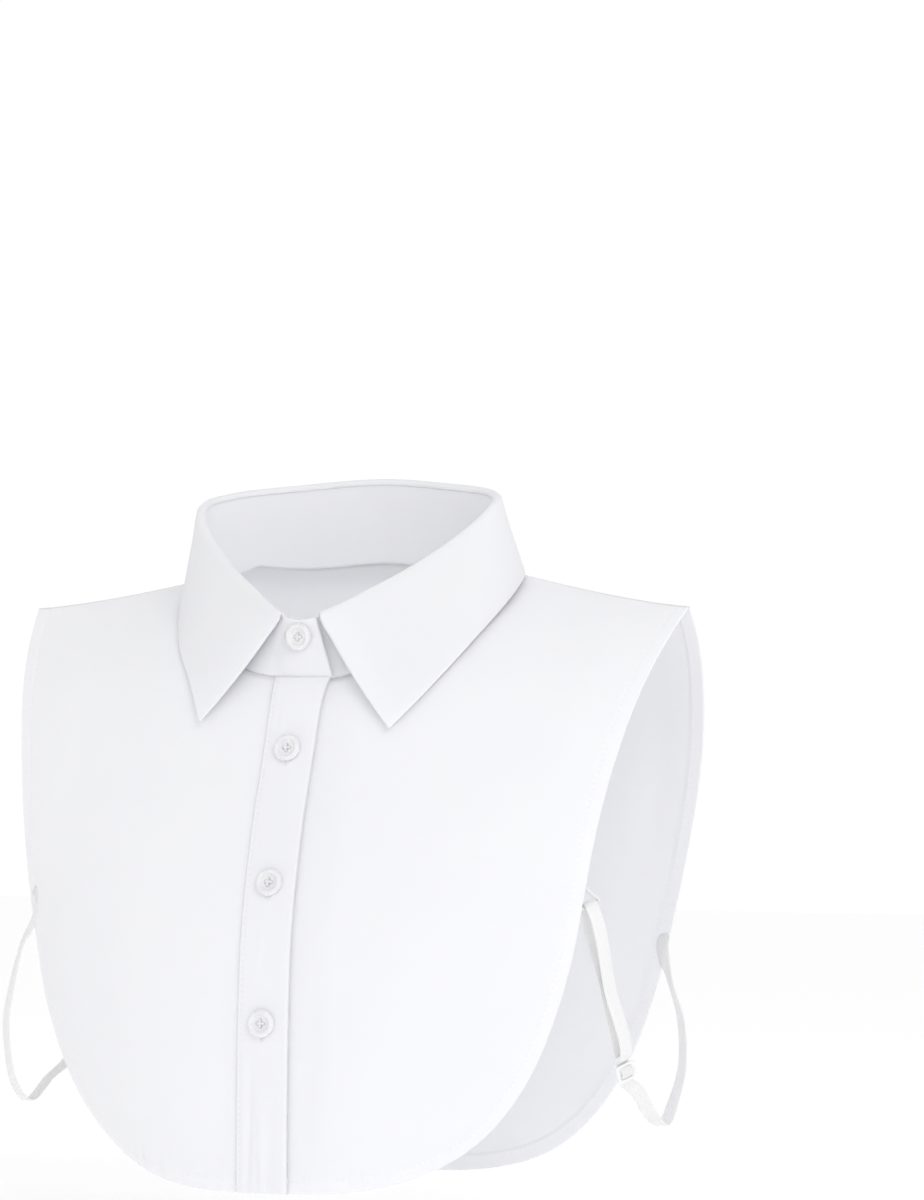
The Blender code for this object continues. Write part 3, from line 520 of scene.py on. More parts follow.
def turned_edge_faces(surface, facing, away, along, pucker, thickness):
    """Outer and inner face of a panel. The outer one is level, with a furrow along the
    stitches and small puckers about them; the inner one steps in where the edge is doubled."""
    furrow = 0.00022 * np.exp(-(((away - STITCH_FROM_EDGE) / 0.0005) ** 2))
    near_edge = np.exp(-(((away - 0.6 * TURNED_EDGE) / (0.75 * TURNED_EDGE)) ** 2))
    ripple = uneven_wave(along, 0.0045, 0.0140, 11) * pucker * near_edge
    doubled = 1 - soft_step(away, TURNED_EDGE - 0.0003, TURNED_EDGE + 0.0003)
    rise = CLOTH_WALL - 0.0001 - furrow + ripple
    depth = thickness + (TURNED_THICKNESS - thickness) * doubled - 0.6 * furrow
    outer = surface + facing * rise[..., None]
    inner = surface + facing * (rise - depth)[..., None]
    return outer, inner


# Places of the soft folds are across the body and up it, in metres, on the wearer's left side.
LEFT_FRONT_FOLDS = [
    {"from": (0.030, -0.235), "to": (0.062, -0.120), "width": 0.0120, "rise": 0.0007},
    {"from": (0.052, -0.235), "to": (0.085, -0.130), "width": 0.0100, "rise": -0.0006},
    {"from": (0.125, -0.010), "to": (0.104, -0.110), "width": 0.0080, "rise": 0.0006},
    {"from": (0.105, 0.004), "to": (0.088, -0.070), "width": 0.0090, "rise": -0.0004},
    {"from": (0.016, -0.245), "to": (0.022, -0.150), "width": 0.0050, "rise": -0.0005},
]
RIGHT_FRONT_FOLDS = [
    {"from": (0.120, -0.015), "to": (0.108, -0.105), "width": 0.0090, "rise": 0.0006},
    {"from": (0.100, -0.060), "to": (0.112, -0.150), "width": 0.0080, "rise": -0.0005},
    {"from": (0.034, -0.240), "to": (0.070, -0.125), "width": 0.0130, "rise": 0.0007},
    {"from": (0.070, -0.215), "to": (0.098, -0.130), "width": 0.0100, "rise": -0.0006},
    {"from": (0.014, -0.245), "to": (0.017, -0.160), "width": 0.0045, "rise": -0.0006},
]

front_cloth = poplin("poplin_fronts", stitched=True, crumple=1.0, thinness=0.5)
front_x, front_drop = front_places(190, 70, 21)
front_surface = worn(front_x, front_drop, FRONT)
front_surface[0, :, 1] -= 0.6 * SEAM_GAP
front_facing = outward(front_x, front_drop, FRONT)
front_away, front_along = from_edge(front_surface)
past_band = soft_step(front_x, BAND_HALF + BAND_TOP_FLARE, BAND_HALF + BAND_TOP_FLARE + OVERLAP_EASE)
front_pucker = 0.00010 + 0.00030 * soft_step(-front_surface[..., 2], 0.190, 0.240)

for hand, folds, under in ((1.0, LEFT_FRONT_FOLDS, 1.0), (-1.0, RIGHT_FRONT_FOLDS, 0.0)):
    name = "left" if hand > 0 else "right"
    drift = soft_folds(front_x, front_surface[..., 2], folds)
    drift = drift * soft_step(front_x, BAND_HALF, BAND_HALF + 0.012)
    dip = under * (CLOTH_WALL + LAYER_GAP) * (1 - past_band)
    surface = front_surface + front_facing * (drift - dip)[..., None]
    outer, inner = turned_edge_faces(
        surface, front_facing, front_away, front_along + 0.3 * hand, front_pucker, CLOTH_THICKNESS)
    turn_over = np.array([hand, 1.0, 1.0])
    mesh = closed_shell("front_" + name, outer * turn_over, inner * turn_over)
    give_map(mesh, "threads", over_shell(front_x), over_shell(front_drop))
    give_map(mesh, "edge", over_shell(front_along), over_shell(front_away))
    piece = finished("cloth_front_" + name, mesh, front_cloth, "front_" + name, "front_" + name)


# The back
# One layer of the same poplin from armhole to armhole, turned in and stitched along its edge
# as the fronts are, and seamed to them along both shoulders.
BACK_FOLDS = [
    {"from": (0.020, -0.020), "to": (0.062, -0.150), "width": 0.0110, "rise": 0.0014},
    {"from": (0.050, -0.060), "to": (0.034, -0.200), "width": 0.0120, "rise": -0.0014},
    {"from": (-0.030, -0.030), "to": (-0.052, -0.170), "width": 0.0120, "rise": 0.0012},
    {"from": (-0.075, -0.080), "to": (-0.050, -0.215), "width": 0.0110, "rise": -0.0011},
    {"from": (0.122, -0.015), "to": (0.104, -0.120), "width": 0.0080, "rise": 0.0012},
    {"from": (-0.126, -0.010), "to": (-0.106, -0.110), "width": 0.0080, "rise": 0.0012},
]

back_neck = neck_edge(BACK, 150)
back_outer = armhole_and_hem(BACK, 150)
back_x, back_drop = between_edges(
    back_neck, back_outer, steps_to_hem(back_neck, back_outer, BACK, 60))
half_back = worn(back_x, back_drop, BACK)
half_back[0, :, 1] += 0.6 * SEAM_GAP
half_facing = outward(back_x, back_drop, BACK)
back_surface = np.concatenate([half_back, (half_back * MIRRORED)[-2::-1]])
back_facing = np.concatenate([half_facing, (half_facing * MIRRORED)[-2::-1]])
back_drop = np.concatenate([back_drop, back_drop[-2::-1]])
back_away, back_along = from_edge(back_surface)
back_pucker = 0.00010 + 0.00022 * soft_step(-back_surface[..., 2], 0.180, 0.235)
back_drift = soft_folds(back_surface[..., 0], back_surface[..., 2], BACK_FOLDS)
back_surface = back_surface + back_facing * back_drift[..., None]
outer, inner = turned_edge_faces(
    back_surface, back_facing, back_away, back_along, back_pucker, CLOTH_THICKNESS)
mesh = closed_shell("back", outer, inner)
give_map(mesh, "threads", over_shell(back_surface[..., 0]), over_shell(back_drop))
give_map(mesh, "edge", over_shell(back_along), over_shell(back_away))
back_cloth = poplin("poplin_back", stitched=True, crumple=1.0, thinness=0.5)
back_piece = finished("cloth_back", mesh, back_cloth, "back", "back")


# The band
# A folded strip of poplin 22 mm wide down the right front's edge, stitched to it down the
# inner side, and free and pressed sharp on the outer side. It carries the buttonholes.
BAND_CLOTH = 0.0010
BAND_THICKNESS = 0.0007
BAND_CREASES = [
    {"from": (-0.0060, -0.250), "to": (-0.0045, -0.188), "width": 0.0014, "rise": -0.0007},
    {"from": (0.0005, -0.250), "to": (-0.0010, -0.200), "width": 0.0016, "rise": 0.0004},
    {"from": (0.0052, -0.250), "to": (0.0046, -0.205), "width": 0.0013, "rise": -0.0004},
    {"from": (-0.0080, -0.080), "to": (-0.0030, -0.040), "width": 0.0018, "rise": 0.0002},
    {"from": (-0.0050, -0.165), "to": (0.0010, -0.125), "width": 0.0020, "rise": 0.0002},
]

BAND_COLUMNS = 45
band_x, band_drop = front_places(30, 150, BAND_COLUMNS)
band_x = band_x[-BAND_COLUMNS:]
band_drop = band_drop[-BAND_COLUMNS:]
band_surface = worn(band_x, band_drop, FRONT)
band_facing = outward(band_x, band_drop, FRONT)
across_band = np.linspace(1, -1, BAND_COLUMNS)[:, None] * BAND_HALF
to_side = BAND_HALF - np.abs(across_band)
sewn_side = across_band > 0
roll = 0.0003 * np.exp(-to_side / 0.0006)
seam_furrow = 0.00022 * np.exp(-(((to_side - 0.0014) / 0.0005) ** 2)) * sewn_side
seam_ripple = 0.00006 * uneven_wave(band_drop, 0.0050, 0.0130, 23) * np.exp(-to_side / 0.0030)
band_rise = CLOTH_WALL + LAYER_GAP + BAND_CLOTH - 0.0002 - roll - seam_furrow + seam_ripple
band_rise = band_rise + soft_folds(-across_band + 0 * band_drop, band_surface[..., 2], BAND_CREASES)
below_neck = np.linalg.norm(band_surface - band_surface[:, :1], axis=-1)
band_rise = band_rise - 0.00055 * np.exp(-((below_neck / 0.0022) ** 2))
band_away, band_along = from_edge(band_surface)
band_low = 0.00020 * soft_step(-band_surface[..., 2], 0.200, 0.240)
band_rise = band_rise + band_low * uneven_wave(band_along + 0.1, 0.0040, 0.0110, 31)
outer = (band_surface + band_facing * band_rise[..., None]) * MIRRORED
inner = (band_surface + band_facing * (band_rise - BAND_THICKNESS)[..., None]) * MIRRORED
mesh = closed_shell("band", outer, inner)
give_map(mesh, "threads", over_shell(band_x), over_shell(band_drop))
give_map(mesh, "edge", over_shell(band_drop), over_shell(to_side + 0.0037 + 0.02 * ~sewn_side + 0 * band_drop))
band_cloth = poplin("poplin_band", stitched=True, crumple=0.7, thinness=0.1)
band_piece = finished("cloth_band", mesh, band_cloth, "front_band", "front_band")


# The stand
# Two layers of poplin over a stiffener, cut as a band that stands round the neck. Its right
# end laps over the left one and buttons at the throat.
COLLAR_ROWS = [
    {"fold": (0.0000, -0.0485, -0.0070), "edge": (0.0430, -0.0530, -0.0530)},
    {"fold": (0.0300, -0.0312, 0.0082), "edge": (0.0560, -0.0430, -0.0365)},
    {"fold": (0.0525, -0.0155, 0.0252), "edge": (0.0686, -0.0243, -0.0154)},
    {"fold": (0.0673, 0.0005, 0.0430), "edge": (0.0756, 0.0062, 0.0066)},
    {"fold": (0.0607, 0.0190, 0.0505), "edge": (0.0690, 0.0338, 0.0178)},
    {"fold": (0.0350, 0.0345, 0.0550), "edge": (0.0420, 0.0530, 0.0165)},
    {"fold": (0.0000, 0.0425, 0.0580), "edge": (0.0000, 0.0605, 0.0165)},
]
RIGHT_LEAF_EDGE = [
    (0.0422, -0.0526, -0.0508),
    (0.0507, -0.0431, -0.0350),
    (0.0650, -0.0242, -0.0153),
]
STAND_BELOW_FOLD = 0.0017
STAND_INSET = 0.0018
STAND_END_TOP = 0.040
STAND_END_FOOT = 0.066
STAND_LIFT = 0.0006
STAND_OVERLAP_EASE = 0.28
STAND_FLARE = 0.0008
STAND_THICKNESS = 0.0010
STAND_SEWN_DOWN = 0.0014


def collar_table(column):
    """One column of the collar's rows, with its mirrored half added past the centre back.
    The right leaf's edge lies closer to the neck at its first three stations."""
    points = np.array([row[column] for row in COLLAR_ROWS])
    right_points = points.copy()
    if column == "edge":
        right_points[:len(RIGHT_LEAF_EDGE)] = RIGHT_LEAF_EDGE
    stations = np.linspace(0, 1, len(COLLAR_ROWS))
    all_stations = np.concatenate([stations, 2 - stations[-2::-1]])
    return all_stations, np.vstack([points, right_points[-2::-1] * MIRRORED])


def fold_at(station):
    """Point on the collar's fold; 0 is the centre front, 1 the centre back, 2 the front."""
    stations, points = collar_table("fold")
    stations = np.concatenate([stations[-4:-1] - 2, stations, stations[1:4] + 2])
    points = np.vstack([points[-4:-1], points, points[1:4]])
    return smooth_through(stations, points, station)


def neck_seam_at(station):
    """Point on the neck seam, read from whichever panel is there, and the way out of it."""
    x, y = neck_plan(np.pi * np.asarray(station, dtype=float))
    front_drop_there = drop_at(x, y, FRONT)
    back_drop_there = drop_at(x, y, BACK)
    ahead = (y <= shoulder_line(x)[0])[..., None]
    point = np.where(ahead, worn(x, front_drop_there, FRONT), worn(x, back_drop_there, BACK))
    facing = np.where(ahead, outward(x, front_drop_there, FRONT), outward(x, back_drop_there, BACK))
    return point, facing


def collar_frame(station):
    """Foot of the stand, its upward direction, its outward direction and the fold above."""
    seam, facing = neck_seam_at(station)
    fold = fold_at(station)
    upward = unit(fold - seam)
    foot = seam + upward * (SEAM_GAP + CLOTH_WALL * np.abs(facing[..., 2:3]) + STAND_LIFT)
    along = fold_at(station + 0.004) - fold_at(station - 0.004)
    out = unit(np.cross(upward, along))
    away_from_neck = (out[..., :2] * fold[..., :2]).sum(-1, keepdims=True)
    return foot, upward, np.where(away_from_neck < 0, -out, out), fold


def overlap_shift(station):
    """How far an end lies out or in where the two lap: a cosine ease over each end."""
    left_end = np.clip(station / STAND_OVERLAP_EASE, 0, 1)
    right_end = np.clip((2.0 - station) / STAND_OVERLAP_EASE, 0, 1)
    shift = np.cos(np.pi * right_end) - np.cos(np.pi * left_end)
    return ((CLOTH_WALL + LAYER_GAP) / 4 * shift)[..., None]


STAND_COLUMNS = 360
top_stations = np.linspace(-STAND_END_TOP, 2 + STAND_END_TOP, STAND_COLUMNS)
foot_stations = np.linspace(-STAND_END_FOOT, 2 + STAND_END_FOOT, STAND_COLUMNS)
foot, _, foot_out, _ = collar_frame(foot_stations)
_, upward, out, fold = collar_frame(top_stations)
stand_top = fold - upward * STAND_BELOW_FOLD - out * STAND_INSET + out * overlap_shift(top_stations)
near_right_end = np.clip((foot_stations - 2.0) / STAND_END_FOOT, 0, 1)[:, None]
stand_foot = foot + foot_out * (overlap_shift(foot_stations) + STAND_FLARE * near_right_end)
stand_foot = stand_foot - unit(stand_top - stand_foot) * STAND_SEWN_DOWN
rising = np.linspace(0, 1, 26)[None, :, None]
stand_middle = stand_foot[:, None] * (1 - rising) + stand_top[:, None] * rising
stand_out = unit(foot_out[:, None] * (1 - rising) + out[:, None] * rising)
round_stand = travelled_along(stand_middle[:, 12])
up_stand = np.linalg.norm(stand_middle - stand_middle[:, :1], axis=-1)
sag = 0.00010 * uneven_wave(round_stand[:, None] + up_stand, 0.012, 0.040, 41)
thinned = 1 - 0.75 * np.exp(-((up_stand / 0.0013) ** 2))
outer_stand = stand_middle + stand_out * (STAND_THICKNESS / 2 * thinned + sag)[..., None]
inner_stand = stand_middle - stand_out * (STAND_THICKNESS / 2 - sag)[..., None]
mesh = closed_shell("stand", outer_stand, inner_stand)
give_map(mesh, "threads", over_shell(round_stand[:, None] + 0 * up_stand), over_shell(up_stand))
collar_cloth = poplin("poplin_collar", stitched=False, crumple=0.6, thinness=0.4)
stand_piece = finished("cloth_stand", mesh, collar_cloth, "collar_stand", "collar_stand")


# The leaf
# Two layers of poplin over a stiffener, turned right side out and pressed, so that its edge
# is sharp. It is sewn to the top of the stand, rolls over and falls to its two points.
LEAF_START = 0.046
LEAF_FRONT_BELLY = 0.0015
LEAF_SEWN_IN = 0.0006
FOLD_SECTION = [
    {"out": -0.0018, "up": -0.0017},
    {"out": -0.0012, "up": -0.0005},
    {"out": -0.0003, "up": 0.0000},
    {"out": 0.0007, "up": -0.0005},
    {"out": 0.0012, "up": -0.0017},
]
LEAF_THICKNESS = 0.0011
LEAF_COLUMNS = 300

along_leaf = np.linspace(0, 2, LEAF_COLUMNS)
stations = LEAF_START + (1 - LEAF_START) * along_leaf
_, upward, out, fold = collar_frame(stations)
leaf_edge = smooth_through(*collar_table("edge"), along_leaf)
shift = overlap_shift(stations) * out
sections = [fold - upward * (STAND_BELOW_FOLD + LEAF_SEWN_IN) - out * STAND_INSET + shift]
for row in FOLD_SECTION:
    on_stand = np.clip(-row["out"] / STAND_INSET, 0, 1)
    sections.append(fold + out * row["out"] + upward * row["up"] + shift * on_stand)
crease = sections[-1]
from_front = np.minimum(along_leaf, 2 - along_leaf)[:, None]
towards_middle = np.where(along_leaf[:, None] < 1, -1.0, 1.0) * np.array([1.0, 0.0, 0.0])
for part in (0.2, 0.4, 0.6, 0.8, 1.0):
    belly = LEAF_FRONT_BELLY * 4 * part * (1 - part) * np.exp(-from_front / 0.1)
    sections.append(crease * (1 - part) + leaf_edge * part + towards_middle * belly)
coarse = np.stack(sections, axis=0)
row_places = travelled_along(coarse.mean(axis=1)) + np.arange(len(coarse)) * 1e-6
near_rim = row_places[-1] - np.array([0.0030, 0.0022, 0.0015, 0.0009, 0.0004, 0.0])
fine_places = np.concatenate([np.linspace(0, row_places[-1] - 0.0040, 64), near_rim])
leaf_middle = np.moveaxis(smooth_through(row_places, coarse, fine_places), 0, 1)
down_leaf = np.gradient(leaf_middle, axis=1)
round_leaf = np.gradient(leaf_middle, axis=0)
leaf_out = unit(np.cross(round_leaf, down_leaf))
leaf_out = leaf_out * np.sign((leaf_out[LEAF_COLUMNS // 2, -1] * np.array([0, 1, 0])).sum())
leaf_away = np.linalg.norm(leaf_middle - leaf_middle[:, -1:], axis=-1)
leaf_length = travelled_along(leaf_middle[:, -1])
pressed = 0.35 * np.exp(-leaf_away / 0.0009)
half_leaf = LEAF_THICKNESS / 2 * (1 - pressed)
outer = leaf_middle + leaf_out * half_leaf[..., None]
inner = leaf_middle - leaf_out * half_leaf[..., None]
mesh = closed_shell("leaf", outer, inner)
give_map(mesh, "threads", over_shell(leaf_length[:, None] + 0 * leaf_away), over_shell(leaf_away))
leaf_piece = finished("cloth_leaf", mesh, collar_cloth, "collar_leaf", "collar_leaf")


# The buttons
# Pearly four-hole shirt buttons of 11.5 mm, turned with a raised rim and a dished middle. Each
# stands on its thread over the buttonhole, and the thread crosses between the holes.
BUTTON_RADIUS = 0.00575
BUTTON_HALF_HEIGHT = 0.0013
BUTTON_SINK = 0.0003
BUTTON_SECTION = [
    {"radius": 0.0000, "height": 0.00165},
    {"radius": 0.0022, "height": 0.00160},
    {"radius": 0.0031, "height": 0.00170},
    {"radius": 0.0038, "height": 0.00235},
    {"radius": 0.0045, "height": 0.00260},
    {"radius": 0.0051, "height": 0.00240},
    {"radius": 0.0055, "height": 0.00190},
    {"radius": 0.00575, "height": 0.00125},
    {"radius": 0.0056, "height": 0.00070},
    {"radius": 0.0050, "height": 0.00020},
    {"radius": 0.0040, "height": 0.00000},
]
BUTTON_HOLE_RADIUS = 0.0007
BUTTON_HOLE_SPACING = 0.0015
BUTTON_HOLE_DEPTH = 0.0005
STAND_BUTTON_HEIGHT = -0.0150
BUTTON_HEIGHTS = {"front_1": -0.0620, "front_2": -0.1175, "front_3": -0.1750}
# The thread's route over the button, in holes' spacings across and up and in metres above the
# middle: through one hole, over to the opposite one, behind the button and over the other way.
THREAD_ROUTE = [
    {"place": (-1.0, 0.0), "rise": -0.00080, "width": (0.0, 1.0)},
    {"place": (-1.0, 0.0), "rise": 0.00000, "width": (0.0, 1.0)},
    {"place": (-0.5, 0.0), "rise": 0.00045, "width": (0.0, 1.0)},
    {"place": (0.0, 0.0), "rise": 0.00050, "width": (0.0, 1.0)},
    {"place": (0.5, 0.0), "rise": 0.00045, "width": (0.0, 1.0)},
    {"place": (1.0, 0.0), "rise": 0.00000, "width": (0.0, 1.0)},
    {"place": (1.0, -0.1), "rise": -0.00080, "width": (-0.4, 0.9)},
    {"place": (0.1, -1.0), "rise": -0.00080, "width": (-0.9, 0.4)},
    {"place": (0.0, -1.0), "rise": 0.00000, "width": (-1.0, 0.0)},
    {"place": (0.0, -0.5), "rise": 0.00065, "width": (-1.0, 0.0)},
    {"place": (0.0, 0.0), "rise": 0.00082, "width": (-1.0, 0.0)},
    {"place": (0.0, 0.5), "rise": 0.00065, "width": (-1.0, 0.0)},
    {"place": (0.0, 1.0), "rise": 0.00000, "width": (-1.0, 0.0)},
    {"place": (0.0, 1.0), "rise": -0.00080, "width": (-1.0, 0.0)},
]
BUTTONHOLE_SEEN = 0.0076
BUTTONHOLE_HIDDEN = 0.0050
BUTTONHOLE_HALF = 0.0009
BUTTONHOLE_SINK = 0.00015
BUTTONHOLE_THREAD = (0.00045, 0.00026)
STAND_BEND = 0.050
BAND_BEND = 0.400
THREAD_WIDTH = 0.0010
THREAD_THICKNESS = 0.00032


def carried(name, centre, across, through, profile, closed):
    """Surface of a closed profile carried along a path. The profile's first value goes along
    the across direction and its second one along the through direction."""
    grid = centre[:, None] + across[:, None] * profile[None, :, :1]
    grid = grid + through[:, None] * profile[None, :, 1:]
    rows, around = grid.shape[:2]
    index = np.arange(rows * around).reshape(rows, around)
    index = np.concatenate([index, index[:1]]) if closed else index
    beside = np.roll(index, -1, axis=1)
    sides = np.stack([index[:-1], beside[:-1], beside[1:], index[1:]], axis=-1).reshape(-1, 4)
    faces = sides.tolist()
    if not closed:
        faces += [index[0][::-1].tolist(), index[-1].tolist()]
    corners = grid.reshape(-1, 3)[sides]
    normal = np.cross(corners[:, 2] - corners[:, 0], corners[:, 3] - corners[:, 1])
    middle = np.repeat(centre[:, None], around, axis=1).reshape(-1, 3)[sides[:, 0]]
    if (normal * (corners.mean(axis=1) - middle)).sum() < 0:
        faces = [face[::-1] for face in faces]
    mesh = bpy.data.meshes.new(name)
    mesh.from_pydata(grid.reshape(-1, 3).tolist(), [], faces)
    mesh.shade_smooth()
    return mesh


def ribbed_profile(width, thickness, ribs, groove):
    """Section of a flat band: its thickness is the root of 1 less the sixth power of the way
    out, and a cosine presses a groove between each two ribs."""
    way = np.sin(np.linspace(-np.pi / 2, np.pi / 2, 8 * ribs + 1))
    half = np.sqrt((1 - way**6).clip(0)) * thickness / 2
    half = half * (1 - groove * (0.5 + 0.5 * np.cos(np.pi * ribs * (way + 1))))
    top = np.stack([way * width / 2, half], axis=-1)
    return np.concatenate([top, top[-2:0:-1] * (1, -1)])


def button_points(rings, spokes):
    """A turned disc: the section goes round, and four steep bell curves sink the holes."""
    radii = np.array([row["radius"] for row in BUTTON_SECTION])
    heights = np.array([row["height"] for row in BUTTON_SECTION])
    travelled = travelled_along(np.stack([radii, heights], axis=-1))
    wanted = np.linspace(0, travelled[-1], rings)
    radius = smooth_through(travelled, radii, wanted)[1:, None].clip(0, BUTTON_RADIUS)
    height = smooth_through(travelled, heights, wanted)[1:, None]
    turn = np.linspace(0, 2 * np.pi, spokes, endpoint=False)[None, :]
    x = radius * np.cos(turn)
    y = radius * np.sin(turn)
    height = height + 0 * turn
    above = (wanted[1:, None] < 0.0040) * 1.0
    for across, up in ((1, 0), (0, 1), (-1, 0), (0, -1)):
        away = np.hypot(x - across * BUTTON_HOLE_SPACING, y - up * BUTTON_HOLE_SPACING)
        height = height - above * BUTTON_HOLE_DEPTH * np.exp(-((away / BUTTON_HOLE_RADIUS) ** 6))
    middle = np.array([[0.0, 0.0, BUTTON_SECTION[0]["height"]]])
    return np.concatenate([middle, np.stack([x, y, height], axis=-1).reshape(-1, 3)])


def button_faces(rings, spokes):
    """Triangles round the middle, a grid out and over the rim, and one flat face behind."""
    index = 1 + np.arange((rings - 1) * spokes).reshape(rings - 1, spokes)
    beside = np.roll(index, -1, axis=1)
    fan = np.stack([np.zeros(spokes, dtype=int), index[0], beside[0]], axis=-1)
    sides = np.stack([index[:-1], index[1:], beside[1:], beside[:-1]], axis=-1).reshape(-1, 4)
    return fan.tolist() + sides.tolist() + [index[-1][::-1].tolist()]


def pearl(name):
    """Pearly plastic: a cloudy drift between two near whites in wide soft bands, a faint
    unevenness that follows the cloud, and a clear gloss."""
    made = bpy.data.materials.new(name)
    made.use_nodes = True
    tree = made.node_tree
    shader = tree.nodes["Principled BSDF"]
    shader.inputs["Subsurface Weight"].default_value = 0.3
    shader.inputs["Subsurface Radius"].default_value = (0.002, 0.002, 0.002)
    shader.inputs["Coat Weight"].default_value = 0.4
    shader.inputs["Coat Roughness"].default_value = 0.12
    place = tree.nodes.new("ShaderNodeTexCoord").outputs["Object"]
    cloud = noise(tree, place, 320.0, 3.0)
    band = sums(tree, "SINE", sums(tree, "MULTIPLY", noise(tree, place, 120.0, 1.0), 18.0))
    drift = sums(tree, "MULTIPLY_ADD", band, 0.25, cloud)
    colour = blended(tree, drift, (0.80, 0.80, 0.82, 1.0), (0.88, 0.88, 0.90, 1.0))
    tree.links.new(colour, shader.inputs["Base Color"])
    bump = tree.nodes.new("ShaderNodeBump")
    bump.inputs["Distance"].default_value = 0.001
    tree.links.new(sums(tree, "MULTIPLY", cloud, 0.03), bump.inputs["Height"])
    tree.links.new(bump.outputs["Normal"], shader.inputs["Normal"])
    tree.links.new(sums(tree, "MULTIPLY_ADD", cloud, 0.1, 0.22), shader.inputs["Roughness"])
    return made


def sewing_thread(name, turn_length):
    """White thread. Its twist is a sine of the way along plus the way round it; the grooves
    of the twist are rougher, and painted shade makes them a little greyer."""
    made = bpy.data.materials.new(name)
    made.use_nodes = True
    tree = made.node_tree
    shader = tree.nodes["Principled BSDF"]
    shader.inputs["Sheen Weight"].default_value = 0.2
    shader.inputs["Subsurface Weight"].default_value = 0.3
    shader.inputs["Subsurface Radius"].default_value = (0.002, 0.002, 0.002)
    along, around = mapped(tree, "twist")
    turns = sums(tree, "MULTIPLY_ADD", along, 1 / turn_length, sums(tree, "MULTIPLY", around, 2.0))
    twist = sums(tree, "SINE", sums(tree, "MULTIPLY", turns, 2 * np.pi))
    bump = tree.nodes.new("ShaderNodeBump")
    bump.inputs["Distance"].default_value = 0.001
    tree.links.new(sums(tree, "MULTIPLY", twist, 0.08 * turn_length / 0.001), bump.inputs["Height"])
    tree.links.new(bump.outputs["Normal"], shader.inputs["Normal"])
    # Painted shade: the colour darkens from the ridges of the twist into its grooves.
    ridge = sums(tree, "MULTIPLY_ADD", twist, 0.5, 0.5)
    colour = blended(tree, ridge, (0.84, 0.84, 0.85, 1.0), (0.93, 0.93, 0.94, 1.0))
    tree.links.new(colour, shader.inputs["Base Color"])
    tree.links.new(sums(tree, "MULTIPLY_ADD", ridge, -0.1, 0.75), shader.inputs["Roughness"])
    return made


def twist_map(mesh, line, count):
    """Map of a cord: metres along it, and turns round it."""
    along = np.repeat(travelled_along(line)[:, None], count, axis=1)
    around = np.repeat(np.linspace(0, 1, count, endpoint=False)[None], len(line), axis=0)
    give_map(mesh, "twist", along, around)


def buttonhole_line(long_way, short_way, facing, bend):
    """Edge of a buttonhole, an oval with blunt ends from powers of a cosine and a sine. It
    follows the cloth, which falls away as the square of the distance over twice its bend."""
    turn = np.linspace(0, 2 * np.pi, 140, endpoint=False)
    middle = (BUTTONHOLE_HIDDEN - BUTTONHOLE_SEEN) / 2
    half = (BUTTONHOLE_HIDDEN + BUTTONHOLE_SEEN) / 2
    along = middle + half * np.sign(np.cos(turn)) * np.abs(np.cos(turn)) ** 0.7
    beside = BUTTONHOLE_HALF * np.sign(np.sin(turn)) * np.abs(np.sin(turn)) ** 0.7
    below = BUTTONHOLE_SINK + along**2 / (2 * bend)
    return along[:, None] * long_way + beside[:, None] * short_way - below[:, None] * facing


pearl_look = pearl("pearly_button")
fine_thread_look = sewing_thread("white_sewing_thread", 0.0007)
disc_points = button_points(60, 96)
disc_faces = button_faces(60, 96)

near_stand_end = outer_stand[-STAND_COLUMNS // 5:]
beside_button = np.abs(near_stand_end[..., 0]) + np.abs(near_stand_end[..., 2] - STAND_BUTTON_HEIGHT)
column, row = np.unravel_index(beside_button.argmin(), beside_button.shape)
stand_run = near_stand_end[column + 3, row] - near_stand_end[column - 3, row]
stand_rise = near_stand_end[column, row + 3] - near_stand_end[column, row - 3]
stand_facing = unit(np.cross(stand_run, stand_rise))
seats = [("collar", stand_facing * -np.sign(stand_facing[1]))]
for name, height in BUTTON_HEIGHTS.items():
    seats.append((name, outward(0.0, shoulder_line(0.0)[1] - height, FRONT)))

